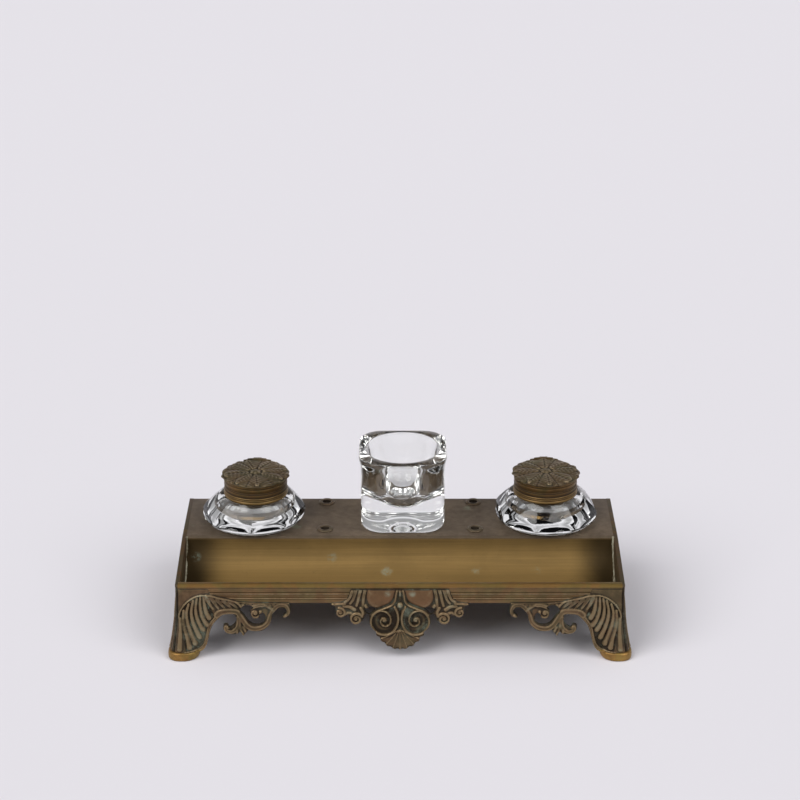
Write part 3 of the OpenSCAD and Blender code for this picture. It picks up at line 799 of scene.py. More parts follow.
class Carving:
    """Heights over a casting's ground, built up from beads, hollows and domes."""

    def __init__(self, points):
        self.points = points
        self.height = np.zeros(len(points))
        self.bloom = np.zeros(len(points))
        self.copper = np.zeros(len(points))

    def bead(self, line, width, height, tip=None, bloom=0.0, centre_groove=0.0, rims=0.0):
        """A rounded bead along a line, which narrows to tip where that is given."""
        line = np.asarray(line, float)
        away, along = nearest(self.points, line)
        half = width + ((width if tip is None else tip) - width) * along
        scale = half / width
        across = np.clip(1 - (away / half) ** 2, 0, 1)
        rise = height * np.sqrt(across) * (0.45 + 0.55 * scale)
        if centre_groove:
            rise -= centre_groove * np.exp(-((away / (0.3 * half)) ** 2))
        if rims:
            rise += rims * np.exp(-(((away - 0.8 * half) / (0.16 * half)) ** 2))
        self.height = np.where(across > 0, np.maximum(self.height, rise), self.height)
        if bloom:
            self.bloom = np.maximum(self.bloom, bloom * across)

    def groove(self, line, width, depth, bloom=0.0):
        """A soft cut along a line."""
        away, _ = nearest(self.points, np.asarray(line, float))
        cut = np.exp(-((away / width) ** 2))
        self.height -= depth * cut
        self.bloom = np.maximum(self.bloom, bloom * cut)

    def dome(self, centre, radius, height, bloom=0.0):
        """A round boss, or only a spot of bloom where the height is 0."""
        away = np.hypot(*(self.points - centre).T)
        across = np.clip(1 - (away / radius) ** 2, 0, 1)
        self.height = np.where(
            across > 0, np.maximum(self.height, height * np.sqrt(across)), self.height
        )
        self.bloom = np.maximum(self.bloom, bloom * across)

    def sink(self, loop, depth, soft=0.8, bloom=0.0):
        """Lowers the ground inside a loop."""
        away, _ = nearest(self.points, closed(loop))
        within = inside(self.points, loop) * np.clip(away / soft, 0, 1)
        self.height -= depth * within
        self.bloom = np.maximum(self.bloom, bloom * within)

    def swell(self, loop, height, reach, copper=0.0):
        """A smooth cushion that fills a loop."""
        away, _ = nearest(self.points, closed(loop))
        rise = height * np.sqrt(np.clip(1 - (1 - np.clip(away / reach, 0, 1)) ** 2, 0, 1))
        within = inside(self.points, loop)
        self.height = np.where(within, np.maximum(self.height, rise), self.height)
        self.copper = np.maximum(self.copper, copper * within)


ROUND_OFF = 0.75  # rounding of the carved plates' edges
# The castings' backs are painted dark as if hollow: grime and painted shade
BACK_GRIME_AND_SHADE = -0.9  # how hollow their backs look to the finish


def rim_away(points, loops):
    """How far each point is from the nearest of some closed loops."""
    return np.min([nearest(points, closed(loop))[0] for loop in loops], axis=0)


def triangles(loops, grain):
    """Points and counter-clockwise triangles that fill the space between loops of points."""
    edges, corners = [], []
    for loop in loops:
        first = len(corners)
        corners.extend(loop)
        edges.extend((first + i, first + (i + 1) % len(loop)) for i in range(len(loop)))
    corners = np.array(corners)
    low, high = corners.min(0), corners.max(0)
    rows = []
    for i, y in enumerate(np.arange(low[1], high[1], grain * 0.866)):
        x = np.arange(low[0] + (i % 2) * grain / 2, high[0], grain)
        rows.append(np.column_stack([x, np.full(len(x), y)]))
    spots = np.vstack(rows)
    spots = spots[inside(spots, *loops)]
    spots = spots[rim_away(spots, loops) > grain * 0.45]
    flat = np.vstack([corners, spots])
    points, _, faces, *_ = delaunay_2d_cdt([tuple(p) for p in flat], edges, [], 0, 1e-6)
    points = np.array([tuple(p) for p in points])
    faces = np.array([f for f in faces if len(f) == 3])
    faces = faces[inside(points[faces].mean(1), *loops)]
    used, inverse = np.unique(faces, return_inverse=True)
    points, faces = points[used], inverse.reshape(-1, 3)
    spans = points[faces]
    area = np.cross(spans[:, 1] - spans[:, 0], spans[:, 2] - spans[:, 0])
    faces[area < 0] = faces[area < 0][:, ::-1]
    return points, faces


def above_neighbours(height, faces, rounds=14):
    """How far each point stands over the ground round it, blurred so many times."""
    blurred = height.copy()
    pairs = np.vstack([faces[:, [0, 1]], faces[:, [1, 2]], faces[:, [2, 0]]])
    number_of = np.bincount(pairs.ravel(), minlength=len(height))
    for _ in range(rounds):
        total = np.bincount(pairs[:, 0], blurred[pairs[:, 1]], len(height))
        total += np.bincount(pairs[:, 1], blurred[pairs[:, 0]], len(height))
        blurred = total / np.maximum(number_of, 1)
    return height - blurred


def carved_plate(name, loops, carve, surface, thickness, grain):
    """A pierced plate between loops of points. carve gives its heights, surface its place."""
    points, faces = triangles(loops, grain)
    carving = Carving(points)
    carve(carving)
    at_rim = 1 - np.clip(rim_away(points, loops) / ROUND_OFF, 0, 1)
    fall = ROUND_OFF * (1 - np.sqrt(np.clip(1 - at_rim**2, 0, 1)))
    height = carving.height * sizes().carving_depth / (1.5 * MM) - fall
    front = surface(points[:, 0], points[:, 1], height)
    back = surface(points[:, 0], points[:, 1], fall * 0.5 - thickness)

    count = len(points)
    sides = {edge: True for a, b, c in faces for edge in ((a, b), (b, c), (c, a))}
    walls = [(a, b, b + count, a + count) for a, b in sides if (b, a) not in sides]
    mesh = bpy.data.meshes.new(name)
    mesh.from_pydata(
        (np.vstack([front, back]) * MM).tolist(),
        [],
        [tuple(f) for f in faces.tolist()]
        + [tuple(f[::-1]) for f in (faces + count).tolist()]
        + [tuple(int(v) for v in w) for w in walls],
    )
    piece = bpy.data.objects.new(name, mesh)
    bpy.context.collection.objects.link(piece)
    in_edit_mode(piece, face_out)

    raised = np.clip(above_neighbours(height, faces) * 1.6, -1, 1)
    on_front = {"raised": raised, "bloom": carving.bloom, "copper": carving.copper}
    for layer, values in on_front.items():
        # Backs get the hollow mark, which paints grime and shade on them
        on_back = BACK_GRIME_AND_SHADE if layer == "raised" else 0.0
        store(piece, layer, np.concatenate([values, np.full(count, on_back)]))
    return piece


# ---- the castings' shape -------------------------------------------------------------


def flare(z, top):
    """How far a foot reaches out at a height, below the top of its sweep."""
    return FLARE * (np.clip(top - z, 0, None) / top) ** 2.2


def tuck(along):
    """How much of the flare is lost away from a foot's middle, from 0 to 1."""
    t = np.clip((along - TOE_IN) / 9.6, -0.98, 0.98)
    return np.clip((1 - np.sqrt(1 - t**2)) / 0.713, 0, 1)


def real_height(along, drawn):
    """Height of a point that was drawn as if the casting were flat."""
    z = drawn
    for _ in range(4):
        z = drawn + TILT * flare(z, RAIL_Z) * (1 - tuck(along))
    return z


def drawn_height(along, z):
    """The way back from real_height."""
    return z - TILT * flare(z, RAIL_Z) * (1 - tuck(along))


def corner_line(z):
    """Where the front and side castings meet, as distances in from the corner."""
    u = v = np.zeros_like(z)
    for _ in range(12):
        v = -flare(z, RAIL_Z) * (1 - tuck(u))
        u = -flare(z, FRAME_TOP) * (1 - tuck(v))
    return u, v


# Edges of a foot, as (distance in from the corner, height), drawn as if the casting were flat
FOOT_UNDER = [
    (68.5, 36), (69, 33), (68.5, 29.5), (66, 27.5), (64, 28), (65.5, 30), (66.5, 31), (66.5, 33),
    (65, 34.5), (62.5, 34.5), (60, 32), (58, 29.5), (57.5, 26), (55.5, 21.5), (52, 18.5),
    (49, 18), (45, 18.5), (43, 18.5), (41.5, 16.5), (40, 15), (38.5, 17.5), (36, 16), (32.5, 16),
    (29.5, 17.5), (28, 20), (28.5, 22.5), (30.5, 23), (32, 21), (34.5, 22.5), (36, 25), (36, 28),
    (34, 29.5), (30.5, 29.5), (27.5, 28.5), (24.5, 25.5), (22, 22.5), (20.2, 18), (19.2, 14),
    (17.9, 9.5), (16.5, 7), (15.2, 5.4),
]
SCROLL_GAP = [
    (39, 34), (42, 36), (45, 35.5), (46.5, 34.5), (45, 32.5), (45, 30), (46, 27.5), (48.5, 27),
    (50, 28), (50.5, 30), (52, 30.5), (53.5, 29), (53.5, 26), (52, 23.5), (49, 22.5), (46, 23),
    (43.5, 25), (41, 29), (39, 31.5), (39, 34),
]
# Edges of the middle ornament's right half, as (distance from the middle, height)
CENTRE_UNDER = [
    (41.5, 36), (39, 34.5), (38.5, 30.5), (37, 28), (34.5, 27.5), (31.5, 29.5), (30.5, 28.5),
    (30, 25.5), (28, 23), (25.5, 23), (23, 24.5), (21.5, 28), (20, 30), (18.5, 28.5), (18.5, 23.5),
    (16.5, 20), (14.6, 18.3), (14.2, 15.6), (12.3, 14.4), (11.4, 11.8), (9.4, 10.8), (7.8, 8.4),
    (5.6, 8), (3.6, 6.3), (1.4, 6.6), (0, 5.9),
]
CENTRE_GAP = [(21, 33.5), (18, 34.5), (14.5, 33.5), (16.5, 31.5), (18.5, 29.5), (20.5, 31)]

# Lines of a foot's carving; the sides share most of them
SHELL_EDGE = [
    (2.2, 26.5), (1.8, 28.7), (3, 32.8), (5.8, 36.9), (10, 40.4), (14.2, 42.2), (17.9, 42.4),
    (19, 41.3),
]
FLUTES = [
    [(2.3, 27), (2.5, 19.8), (2.0, 12.4), (1.6, 6.2)],
    [(4.6, 32.2), (4.2, 26), (5.0, 19.8), (6.7, 13.6), (7.6, 7.4)],
    [(7.7, 36.5), (6.3, 30.3), (6.9, 23.5), (8.6, 17.3), (11.0, 10.2)],
    [(10.6, 39), (9.3, 32.2), (9.8, 26), (11.6, 19.8), (13.6, 14.2)],
    [(12.8, 40.2), (11.9, 33.4), (12.6, 27.2), (14.4, 22.3), (16, 19.4)],
    [(14.9, 41.1), (14.7, 34.6), (15.6, 29.1), (17.3, 24.6), (18.6, 22.6)],
    [(17, 41.2), (17.3, 35.9), (18.2, 30.9), (19.8, 27.4)],
]
LEG_RIB = [
    (27.5, 30.6), (24.2, 27.6), (21.3, 23.8), (19.4, 19.4), (18.3, 14.4), (16.9, 10), (14.6, 6.8),
    (10.6, 4.8), (5.2, 3.5),
]
LEAVES = [
    [(18.9, 41), (20.4, 37), (22.3, 33.4)],
    [(21.7, 40.6), (23.8, 37), (25.8, 33.4)],
    [(25.0, 39.8), (27.3, 36.8), (29.6, 33.8)],
    [(28.8, 39), (31, 36.8), (33.3, 34.2)],
    [(32.6, 38.4), (34.8, 36.4), (36.8, 34)],
]
LEAF_TOP = [
    (18.6, 42.4), (22, 42.2), (26, 40.9), (31, 40), (35, 38.9), (38, 36.8), (40, 33.6), (41.2, 30),
]
FOOT_SCROLL = [
    (24.5, 29.3), (26.8, 31.1), (32.6, 32), (37.2, 31.1), (39.9, 26.6), (42.4, 22.6), (45.2, 20.4),
    (48.9, 20.2), (52.6, 21.6), (55.5, 24.6), (56.8, 28.7), (58.4, 32.2), (60.9, 35.2), (63.8, 36),
    (66.4, 35.2), (67.6, 32.4), (67.2, 29.6), (65.4, 28.8),
]
CURL = [
    (53, 36.4), (49, 35.8), (45.4, 34), (43.8, 31.2), (44.6, 28.4), (47, 26.9), (49.6, 27.5),
]
HOOK = [
    (37.4, 27.5), (37.6, 24.2), (36.4, 20.4), (33.4, 18), (30.4, 18.6), (29.6, 20.6), (30.8, 21.8),
]
EYE_Z = 28.1  # height of the round holes in the sides


def shell_panel(carving):
    """The fluted shell on a foot, with its edge, the rib of the leg and the leaves beside it."""
    ground = [*SHELL_EDGE, *LEG_RIB[1:]]
    carving.sink(ground, 0.55, 1.2, bloom=0.25)
    for flute in FLUTES:
        line = spline(flute)
        carving.bead(line[::-1], 1.7, 1.0, tip=0.9, bloom=0.1)
        carving.dome(line[-1], 1.3, 1.15, bloom=0.5)
    carving.bead(spline(SHELL_EDGE), 0.55, 0.75, bloom=1.0)
    carving.groove(spline([(20.6, 39), (19.8, 34), (21.2, 29.5)]), 0.9, 0.7, bloom=0.9)
    carving.bead(spline(LEG_RIB), 1.35, 1.05, tip=0.9, centre_groove=0.6)
    for leaf in LEAVES:
        carving.bead(spline(leaf), 1.6, 1.0, tip=0.6, bloom=0.4, centre_groove=0.35)
    carving.bead(spline(LEAF_TOP), 0.8, 1.15, bloom=0.2)


def carve_foot(carving):
    """A front foot: shell and leaves, a long scroll with its hook, and a row of berries."""
    shell_panel(carving)
    carving.bead(spline(FOOT_SCROLL), 2.0, 1.0, tip=1.25, centre_groove=0.4, rims=0.35)
    carving.dome((65.8, 29.2), 1.5, 1.3)
    carving.bead(spline(HOOK), 1.5, 1.0, tip=1.2, centre_groove=0.35, rims=0.3)
    carving.dome((31.2, 21.4), 1.4, 1.5)
    for leaf in (
        [(38.2, 22.4), (38.9, 19), (40.1, 15.8)],
        [(40.6, 21), (41.4, 18.8), (42.6, 17.4)],
        [(36.4, 19.6), (36.6, 17.4), (37.6, 16.2)],
    ):
        carving.bead(spline(leaf), 1.3, 0.9, tip=0.7, bloom=0.3)
    carving.bead(spline(CURL), 1.5, 1.25, tip=1.1, centre_groove=0.45)
    carving.bead(snail((47.6, 30.4), 3.4, 20, -1.2), 1.0, 1.0)
    carving.dome((47.6, 30.5), 1.2, 1.4)
    carving.bead(spline([(37, 38.2), (48, 37.6), (60, 37.4), (69, 37.3)]), 0.7, 0.8)
    for i, u in enumerate(np.arange(40.5, 60, 2.3)):
        carving.dome((u, 36.0 - 0.35 * (i % 2)), 1.35, 0.9 - 0.15 * (i % 3), bloom=0.25)
    carving.bead(spline([(55, 35.4), (57.6, 33.6), (59.6, 31.4)]), 1.1, 0.8, bloom=0.3)


def carve_side(carving):
    """A side's foot and scroll; the mirrored half meets it in the middle."""
    whole = carving.points
    middle = HALF_D
    carving.points = np.column_stack([middle - np.abs(whole[:, 0] - middle), whole[:, 1]])
    shell_panel(carving)
    carving.bead(spline(FOOT_SCROLL[:9]), 2.0, 1.0, tip=1.7, centre_groove=0.4, rims=0.35)
    carving.bead(spline([(40, 37.6), (48, 37.3), (56, 37.2)]), 0.7, 0.8)
    carving.bead(circle((47.5, EYE_Z), 4.2), 1.2, 1.1, centre_groove=0.3)
    for u in np.arange(41.5, 56, 2.3):
        carving.dome((u, 35.4), 1.3, 0.8, bloom=0.25)
    for tip in ((54.5, 15.2), (52.2, 16.4), (49.8, 17.6)):
        carving.bead(spline([(54.5, 21.5), ((54.5 + tip[0]) / 2, 18.6), tip]), 1.2, 1.0, bloom=0.3)
    carving.points = whole


# Lines of the middle ornament's carving
CHEEK = [
    (19.4, 46.9), (20.2, 43.5), (20, 40.2), (18.4, 36.6), (14.6, 34.3), (10.3, 35.6), (5.9, 38),
    (3.4, 41.4), (2.6, 44.3), (2.5, 46.9),
]
VOLUTE = [
    (3.3, 35.1), (1.9, 32.1), (1.1, 28.5), (1.2, 24.8), (2.5, 20.6), (5.3, 17.3), (9.2, 16.1),
    (13.4, 17.2), (16.3, 20.4), (17.6, 24.4), (16.9, 28.2), (14.7, 31.1), (11.6, 32.4), (8.8, 31.8),
    (6.7, 30), (5.5, 26.8), (6.1, 23.7), (8.2, 22), (10.7, 22.7), (11.7, 25.1), (10.8, 27.2),
    (8.9, 27.2), (8.4, 25.7),
]
CHEEK_BAND = [
    (1.6, 47), (2.3, 43.6), (3.1, 39), (5.2, 36.2), (9.9, 33.9), (14, 32.1), (17, 29.6),
]
FAN = [
    (-0.1, 21.5), (2.8, 18.8), (6, 16.6), (9.6, 15.6), (14.4, 17), (14.2, 15.6), (12.3, 14.4),
    (11.4, 11.8), (9.4, 10.8), (7.8, 8.4), (5.6, 8), (3.6, 6.3), (1.4, 6.6), (0, 5.9),
]


def carve_centre(carving):
    """The middle ornament: two cheeks and volutes over a shell, with curls at its sides."""
    whole = carving.points
    carving.points = np.column_stack([np.abs(whole[:, 0]), whole[:, 1]])
    carving.swell(spline(CHEEK), 1.4, 5.0, copper=1.0)
    carving.sink(spline(VOLUTE[:12]), 0.7, 1.0, bloom=0.45)
    fan = spline(FAN)
    carving.swell(np.vstack([fan, fan[::-1][1:-1] * [-1, 1]]), 0.9, 3.0)
    for x, z in ((0, 6.3), (4.3, 7.3), (8.4, 9.9), (11.8, 13.4)):
        carving.bead(spline([(x * 0.15, 19), (x * 0.6, (18 + z) / 2), (x, z)]), 0.45, 1.4)
    carving.bead(spline(FAN[3:]), 0.5, 1.2, bloom=0.2)
    carving.sink([(0, 34), (1.6, 31), (0.9, 26), (1.0, 22), (0, 19)], 0.8, 0.5, bloom=0.5)
    carving.bead(spline(CHEEK_BAND), 0.75, 1.8, tip=0.6)
    carving.bead(spline(VOLUTE), 0.85, 1.7, tip=0.55)
    carving.dome((9.7, 25.8), 1.2, 1.3)
    carving.dome((7.4, 44.4), 2.6, 0.0, bloom=0.8)
    carving.dome((0, 36.3), 2.0, 1.9, bloom=1.0)
    carving.groove([(0, 39.2), (0, 40.6)], 0.9, 1.2)
    carving.bead([(0, 45.8), (0, 42.5)], 1.2, 1.3, tip=0.6, bloom=1.0)
    for pleat in (
        [(20.8, 46.8), (21.8, 42), (22.2, 38), (22.6, 34)],
        [(23.6, 46.8), (24.7, 42), (25.4, 38.6), (26.2, 35.6)],
        [(26.4, 46.4), (27.4, 42.5), (28.4, 39.5), (30, 37.2)],
        [(28.8, 45.4), (29.9, 42), (31.2, 39.6), (33.2, 38)],
    ):
        carving.bead(spline(pleat), 1.25, 1.0, tip=0.8, bloom=0.45, centre_groove=0.3)
    carving.bead(spline([(20.9, 35.8), (19.4, 33.2), (18.2, 30.6)]), 1.0, 0.9, bloom=0.5)
    carving.bead(snail((26.4, 26.7), 3.9, 130, -1.7), 1.15, 1.3, tip=0.7)
    carving.bead(spline([(23.6, 34), (22.5, 31.4), (23, 28.6)]), 1.1, 1.1)
    carving.dome((26.4, 26.7), 1.1, 1.5)
    carving.bead(snail((36.1, 31.0), 3.2, 80, 1.6), 1.0, 1.2, tip=0.7)
    carving.bead(spline([(27.5, 33), (30.5, 35), (34, 35.2)]), 1.3, 1.0, tip=1.0, bloom=0.6)
    carving.bead(spline([(29.5, 30.6), (31.4, 31), (32.6, 30)]), 1.0, 0.9, bloom=0.3)
    carving.dome((36.1, 31.0), 1.0, 1.4)
    carving.bead(spline([(33, 37), (37, 36.6), (41.4, 36.4)]), 0.7, 0.8, tip=0.5)
    carving.points = whole


def front_surface(u, drawn, out):
    """A point of the front left foot, carved out by so much."""
    z = real_height(u, drawn)
    reach = np.minimum(flare(z, RAIL_Z) * (1 - tuck(u)) + out, FLARE - 0.05)
    return np.column_stack([u - HALF_W, -(HALF_D + reach), z])


def side_surface(v, drawn, out):
    """A point of the left side; v runs back from the front corner."""
    near = np.minimum(v, 2 * HALF_D - v)
    z = real_height(near, drawn)
    reach = np.minimum(flare(z, FRAME_TOP) * (1 - tuck(near)) + out, FLARE - 0.05)
    return np.column_stack([-(HALF_W + reach), v - HALF_D, z])


def middle_surface(x, z, out):
    """A point of the upright middle ornament, carved out by so much."""
    return np.column_stack([x, -(HALF_D + out), z])


def foot_loops(step):
    """The front foot's outline and the gap in its scroll."""
    z = np.linspace(SOLE_Z, PLATE_TOP, 60)
    u, _ = corner_line(z)
    outer = np.column_stack([u + SIDE_T, drawn_height(u + SIDE_T, z)])
    sole = np.linspace(15.0, outer[0, 0], 30)[1:-1]
    sole = np.column_stack([sole, drawn_height(sole, SOLE_Z)])
    top = [
        (20, PLATE_TOP), (20.4, 44.6), (22.4, 43), (27, 41.6), (33, 40.2), (38, 38.7), (46, 38.1),
        (58, 37.8), (68.5, 37.7),
    ]
    loop = np.vstack([spline(FOOT_UNDER), sole, outer, even(spline(top), step)])
    return [tidy_loop(loop, step), tidy_loop(spline(SCROLL_GAP), step)]


def tidy_loop(loop, step):
    """A closed loop with evenly spaced points."""
    return even(closed(loop), step)[:-1]


def side_loops(step):
    """A side's outline, from one foot to the other, and its two eyes."""
    z = np.linspace(SOLE_Z, FRAME_TOP - 0.1, 60)
    _, v = corner_line(z)
    outer = np.column_stack([v, drawn_height(v, z)])
    sole = np.linspace(15.0, outer[0, 0], 30)[1:-1]
    sole = np.column_stack([sole, drawn_height(sole, SOLE_Z)])
    drop = [(54.5, 13.5), (50.5, 14.5), (48, 18), (45, 18)]
    under = spline([*drop, *FOOT_UNDER[18:]])
    half = np.vstack([under, sole, outer])
    back = half[::-1].copy()
    back[:, 0] = 2 * HALF_D - back[:, 0]
    eyes = [circle((v, EYE_Z), 3.1)[:-1] for v in (47.5, 61.5)]
    return [tidy_loop(np.vstack([half, back]), step), *eyes]


def centre_loops(step):
    """The middle ornament's outline and the gaps beside its volutes."""
    under = spline(CENTRE_UNDER, 0.3)
    top = spline([(0, PLATE_TOP), (15, PLATE_TOP), (29.4, PLATE_TOP)], 0.5)
    flank = spline([(30.2, 45.6), (31, 42.6), (32.4, 40.4), (35.4, 38.6), (41.2, 37.7)])
    half = np.vstack([top, flank, under])
    other = half[::-1][1:-1] * [-1, 1]
    gaps = [tidy_loop(spline([*CENTRE_GAP, CENTRE_GAP[0]]), step)]
    gaps.append(gaps[0] * [-1, 1])
    return [tidy_loop(np.vstack([half, other]), step), *gaps]


# ---- operators: one for each piece or group of like pieces ---------------------------


class InkstandPiece:
    """What every operator here does: it builds its piece."""

    bl_options = {"REGISTER", "UNDO"}

    def execute(self, context):
        self.build()
        return {"FINISHED"}


class INKSTAND_OT_castings(InkstandPiece, bpy.types.Operator):
    """Carve the front and back castings: scrolled feet, middle ornament, rail and round toes"""

    bl_idname = "inkstand.castings"
    bl_label = "Front and Back Castings"

    def build(self):
        grain = sizes().carving_grain / MM
        foot = carved_plate(
            "foot", foot_loops(grain), carve_foot,
            lambda u, z, out: front_surface(u, z, out + CASTING_OUT), CASTING_T, grain,
        )
        middle = carved_plate(
            "middle", centre_loops(grain), carve_centre,
            lambda x, z, out: middle_surface(x, z, out + CASTING_OUT), CASTING_T, grain,
        )
        kinds = {
            "foot": (foot, "cast_brass"),
            "middle": (middle, "cast_brass"),
            "rail": (self.rail(), "rail_brass"),
            "toe": (self.toe(), "toe_brass"),
        }
        for kind, (piece, finish) in kinds.items():
            made = {"front": piece, "back": mirrored(kind, piece, 1)}
            if kind in ("foot", "toe"):
                made = {
                    f"{side}_{end}": one if end == "left" else mirrored(kind, one, 0)
                    for side, one in made.items()
                    for end in ("left", "right")
                }
            for place, one in made.items():
                one.name = one.data.name = f"{kind}_{place}"
                node = place.split("_")[0] + "_casting"
                settle(one, "stand", finish, node, slot="cast_brass", crease=50)

    @staticmethod
    def rail():
        """The reeded rail, with a bead at the lip and two thin reeds."""
        face = -HALF_D
        r = 0.5

        def reed(z):
            turn = np.radians(np.linspace(70, -70, 9))
            return [(face - 0.12 - r * math.cos(a) + r * 0.34, z + r * math.sin(a)) for a in turn]

        profile = [
            (face + 2, FRAME_TOP - 0.02), (face, FRAME_TOP - 0.02), (face, 46.95),
            (face + 0.08, 46.8), (face + 0.28, 46.68), (face + 0.3, 46.5), (face + 0.1, 46.35),
            (face - 0.02, 46.1), (face - 0.05, 45.2), (face, 44.4), (face + 0.25, 44.15),
            (face + 0.3, 43.95), *reed(43.35), (face + 0.3, 42.65), (face + 0.22, 42.5),
            (face, 42.25), (face - 0.05, 41.8), (face, 41.2), (face + 0.32, 40.95), *reed(40.35),
            (face + 0.3, 39.65), (face, 39.4), (face - 0.05, 38.4), (face - 0.05, 37.5),
            (face, 37.25), (face + 0.2, RAIL_Z), (face + 2.2, RAIL_Z),
        ]
        piece = swept("rail", profile, -HALF_W + SIDE_T, HALF_W - SIDE_T, 60)
        points = coordinates(piece)
        x, y, z = points.T
        away = np.abs(x)
        # The reeds stop short of the ends, and behind the middle ornament
        upper_ends = (z > 42.4) & (z < 44.3) & (away > 116)
        lower_ends = (z > 39.5) & (z < 41.1) & (away > 106)
        hidden = upper_ends | lower_ends | ((z < 44.3) & (away < 28))
        y = np.where(hidden & (y < face + 0.28), face + 0.28, y)
        points[:, 1] = y
        piece.data.vertices.foreach_set("co", (points * MM).ravel())
        stand = face - y
        deep = np.clip((stand + 0.12) * 1.6, -1, 0) * (y < face + 1)
        proud = np.clip((stand - 0.3) * 2.2, 0, 1)
        store(piece, "raised", proud + deep)
        store(piece, "bloom", 0.25 * (deep < -0.2))
        return piece

    @staticmethod
    def toe():
        """A round toe, fuller towards its foot and squarer at the corner, with a rim on the leg."""
        turn = np.linspace(0, 2 * math.pi, 96, endpoint=False)
        c, d = np.cos(turn), np.sin(turn)
        power = np.where((c < 0) & (d < 0), 2.7, 2.0)
        insets = [
            (1.0, 0), (0.4, 0.25), (0.1, 0.8), (0, 1.6), (0.02, 3), (0.15, 4.2), (0.45, 4.9),
            (0.95, 5.3), (1.6, TOE_H),
        ]
        centre = (TOE_IN - HALF_W, TOE_IN - HALF_D)
        rings = [level_ring(centre, 0.0, 0, turn)]
        for inset, z in insets:
            inner = TOE_R + 1.9 - 1.7 * (1 - min(z / TOE_H, 1))
            a = np.where(c < 0, TOE_R, inner) - inset
            b = np.where(d < 0, TOE_R, inner) - inset
            reach = (np.abs(c / a) ** power + np.abs(d / b) ** power) ** (-1 / power)
            rings.append(level_ring(centre, reach, z, turn))
        rings.append(level_ring(centre, 0.0, TOE_H, turn))
        leg = [(10.5, 4.6), (13.4, 5.2), (15.5, 6.6), (17.1, 9.2), (18.2, 12.4), (19.1, 15.5)]
        line = spline(leg)
        middle = front_surface(line[:, 0], line[:, 1], np.full(len(line), 0.4))
        radii = np.linspace(0.9, 0.35, len(line))
        return joined("toe", rolled("toe", rings), tube("rim", middle, radii))


class INKSTAND_OT_side_castings(InkstandPiece, bpy.types.Operator):
    """Carve the pierced castings at the stand's two ends"""

    bl_idname = "inkstand.side_castings"
    bl_label = "Side Castings"

    def build(self):
        grain = sizes().carving_grain / MM
        loops = side_loops(grain)
        left = carved_plate("side_left", loops, carve_side, side_surface, SIDE_T, grain)
        right = mirrored("side_right", left, 0)
        settle(left, "stand", "cast_brass", "side_casting_left", crease=50)
        settle(right, "stand", "cast_brass", "side_casting_right", crease=50)


class INKSTAND_OT_posts(InkstandPiece, bpy.types.Operator):
    """Model the posts that the castings are soldered to inside the corners"""

    bl_idname = "inkstand.posts"
    bl_label = "Corner Posts"

    def build(self):
        square = [(0, 0), (4.5, 0), (4.5, 4.5), (0, 4.5)]
        rings = []
        for z in np.linspace(TOE_H, SHEET_LOW[2] - 1, 9):
            u = SIDE_T + 0.5 - 0.7 * flare(z, FRAME_TOP)
            v = 2.9 - 0.7 * flare(z, RAIL_Z)
            rings.append([(u + a - HALF_W, v + b - HALF_D, z) for a, b in square])
        first = bevelled(rolled("post", rings, ends_open=True), 0.5 * MM)
        back = mirrored("post", first, 1)
        for end, left in (("front", first), ("back", back)):
            for side, piece in (("left", left), ("right", mirrored("post", left, 0))):
                node = f"corner_post_{end}_{side}"
                piece.name = piece.data.name = node + "_brass"
                settle(piece, "stand", "rough_brass", node)


class INKSTAND_OT_sheet(InkstandPiece, bpy.types.Operator):
    """Model the folded sheet of the deck and pen trough, with the lip in front of it"""

    bl_idname = "inkstand.sheet"
    bl_label = "Deck, Trough and Lip"

    def build(self):
        middle, radius = TROUGH_MIDDLE, TROUGH_R
        bend = 1.6  # radius of the fold between deck and trough
        bend_z = DECK_Z - bend
        bend_y = middle[0] + math.sqrt((radius + bend) ** 2 - (middle[1] - bend_z) ** 2)
        meet = math.atan2(bend_z - middle[1], bend_y - middle[0])
        front = math.pi + math.asin((middle[1] - FRAME_TOP) / radius)
        inner = arc(middle, radius, front, meet + 2 * math.pi, 96)
        outer_r = radius + SHEET_T
        front_out = math.pi + math.asin((middle[1] - FRAME_TOP) / outer_r)
        corner = 2 * math.pi - math.asin((middle[1] - DECK_Z + SHEET_T) / outer_r)
        outer = arc(middle, outer_r, front_out, corner, 96)
        fold = arc((bend_y, bend_z), bend, meet + math.pi, math.pi / 2, 14)
        edge = SHEET_HIGH[1]
        rear = [(edge - 0.4, DECK_Z), (edge - 0.12, DECK_Z - 0.12), (edge, DECK_Z - 0.4)]
        rear += [(edge, DECK_Z - SHEET_T + 0.15), (edge - 0.15, DECK_Z - SHEET_T)]
        profile = [*inner, *fold[1:], *rear, *outer[::-1]]
        sheet = swept("deck_and_trough", profile, SHEET_LOW[0], SHEET_HIGH[0])
        low, high = DECK_Z - 9, DECK_Z + 9
        drill = [(0, low), (SHANK_R, low), (SHANK_R, high), (0, high)]
        for place in SOCKETS:
            hole = turned("hole", place, drill, 48)
            modify(sheet, "BOOLEAN", operation="DIFFERENCE", solver="EXACT", object=hole)
            bpy.data.objects.remove(hole)
        settle(sheet, "stand", "sheet_brass", "deck_tray_sheet", crease=30)

        y0, z0, y1, z1 = LIP_LOW[1], LIP_LOW[2], LIP_HIGH[1], LIP_HIGH[2]
        bar = [
            (y0, z0), (y0, z1 - 0.5), (y0 + 0.07, z1 - 0.22), (y0 + 0.24, z1 - 0.05),
            (y0 + 0.5, z1), (y1 - 0.5, z1), (y1 - 0.2, z1 - 0.06), (y1 - 0.05, z1 - 0.22),
            (y1, z1 - 0.5), (y1, z0),
        ]
        lip = swept("tray_lip_brass", bar, LIP_LOW[0], LIP_HIGH[0], 40)
        settle(lip, "stand", "lip_brass", "tray_lip", crease=50)


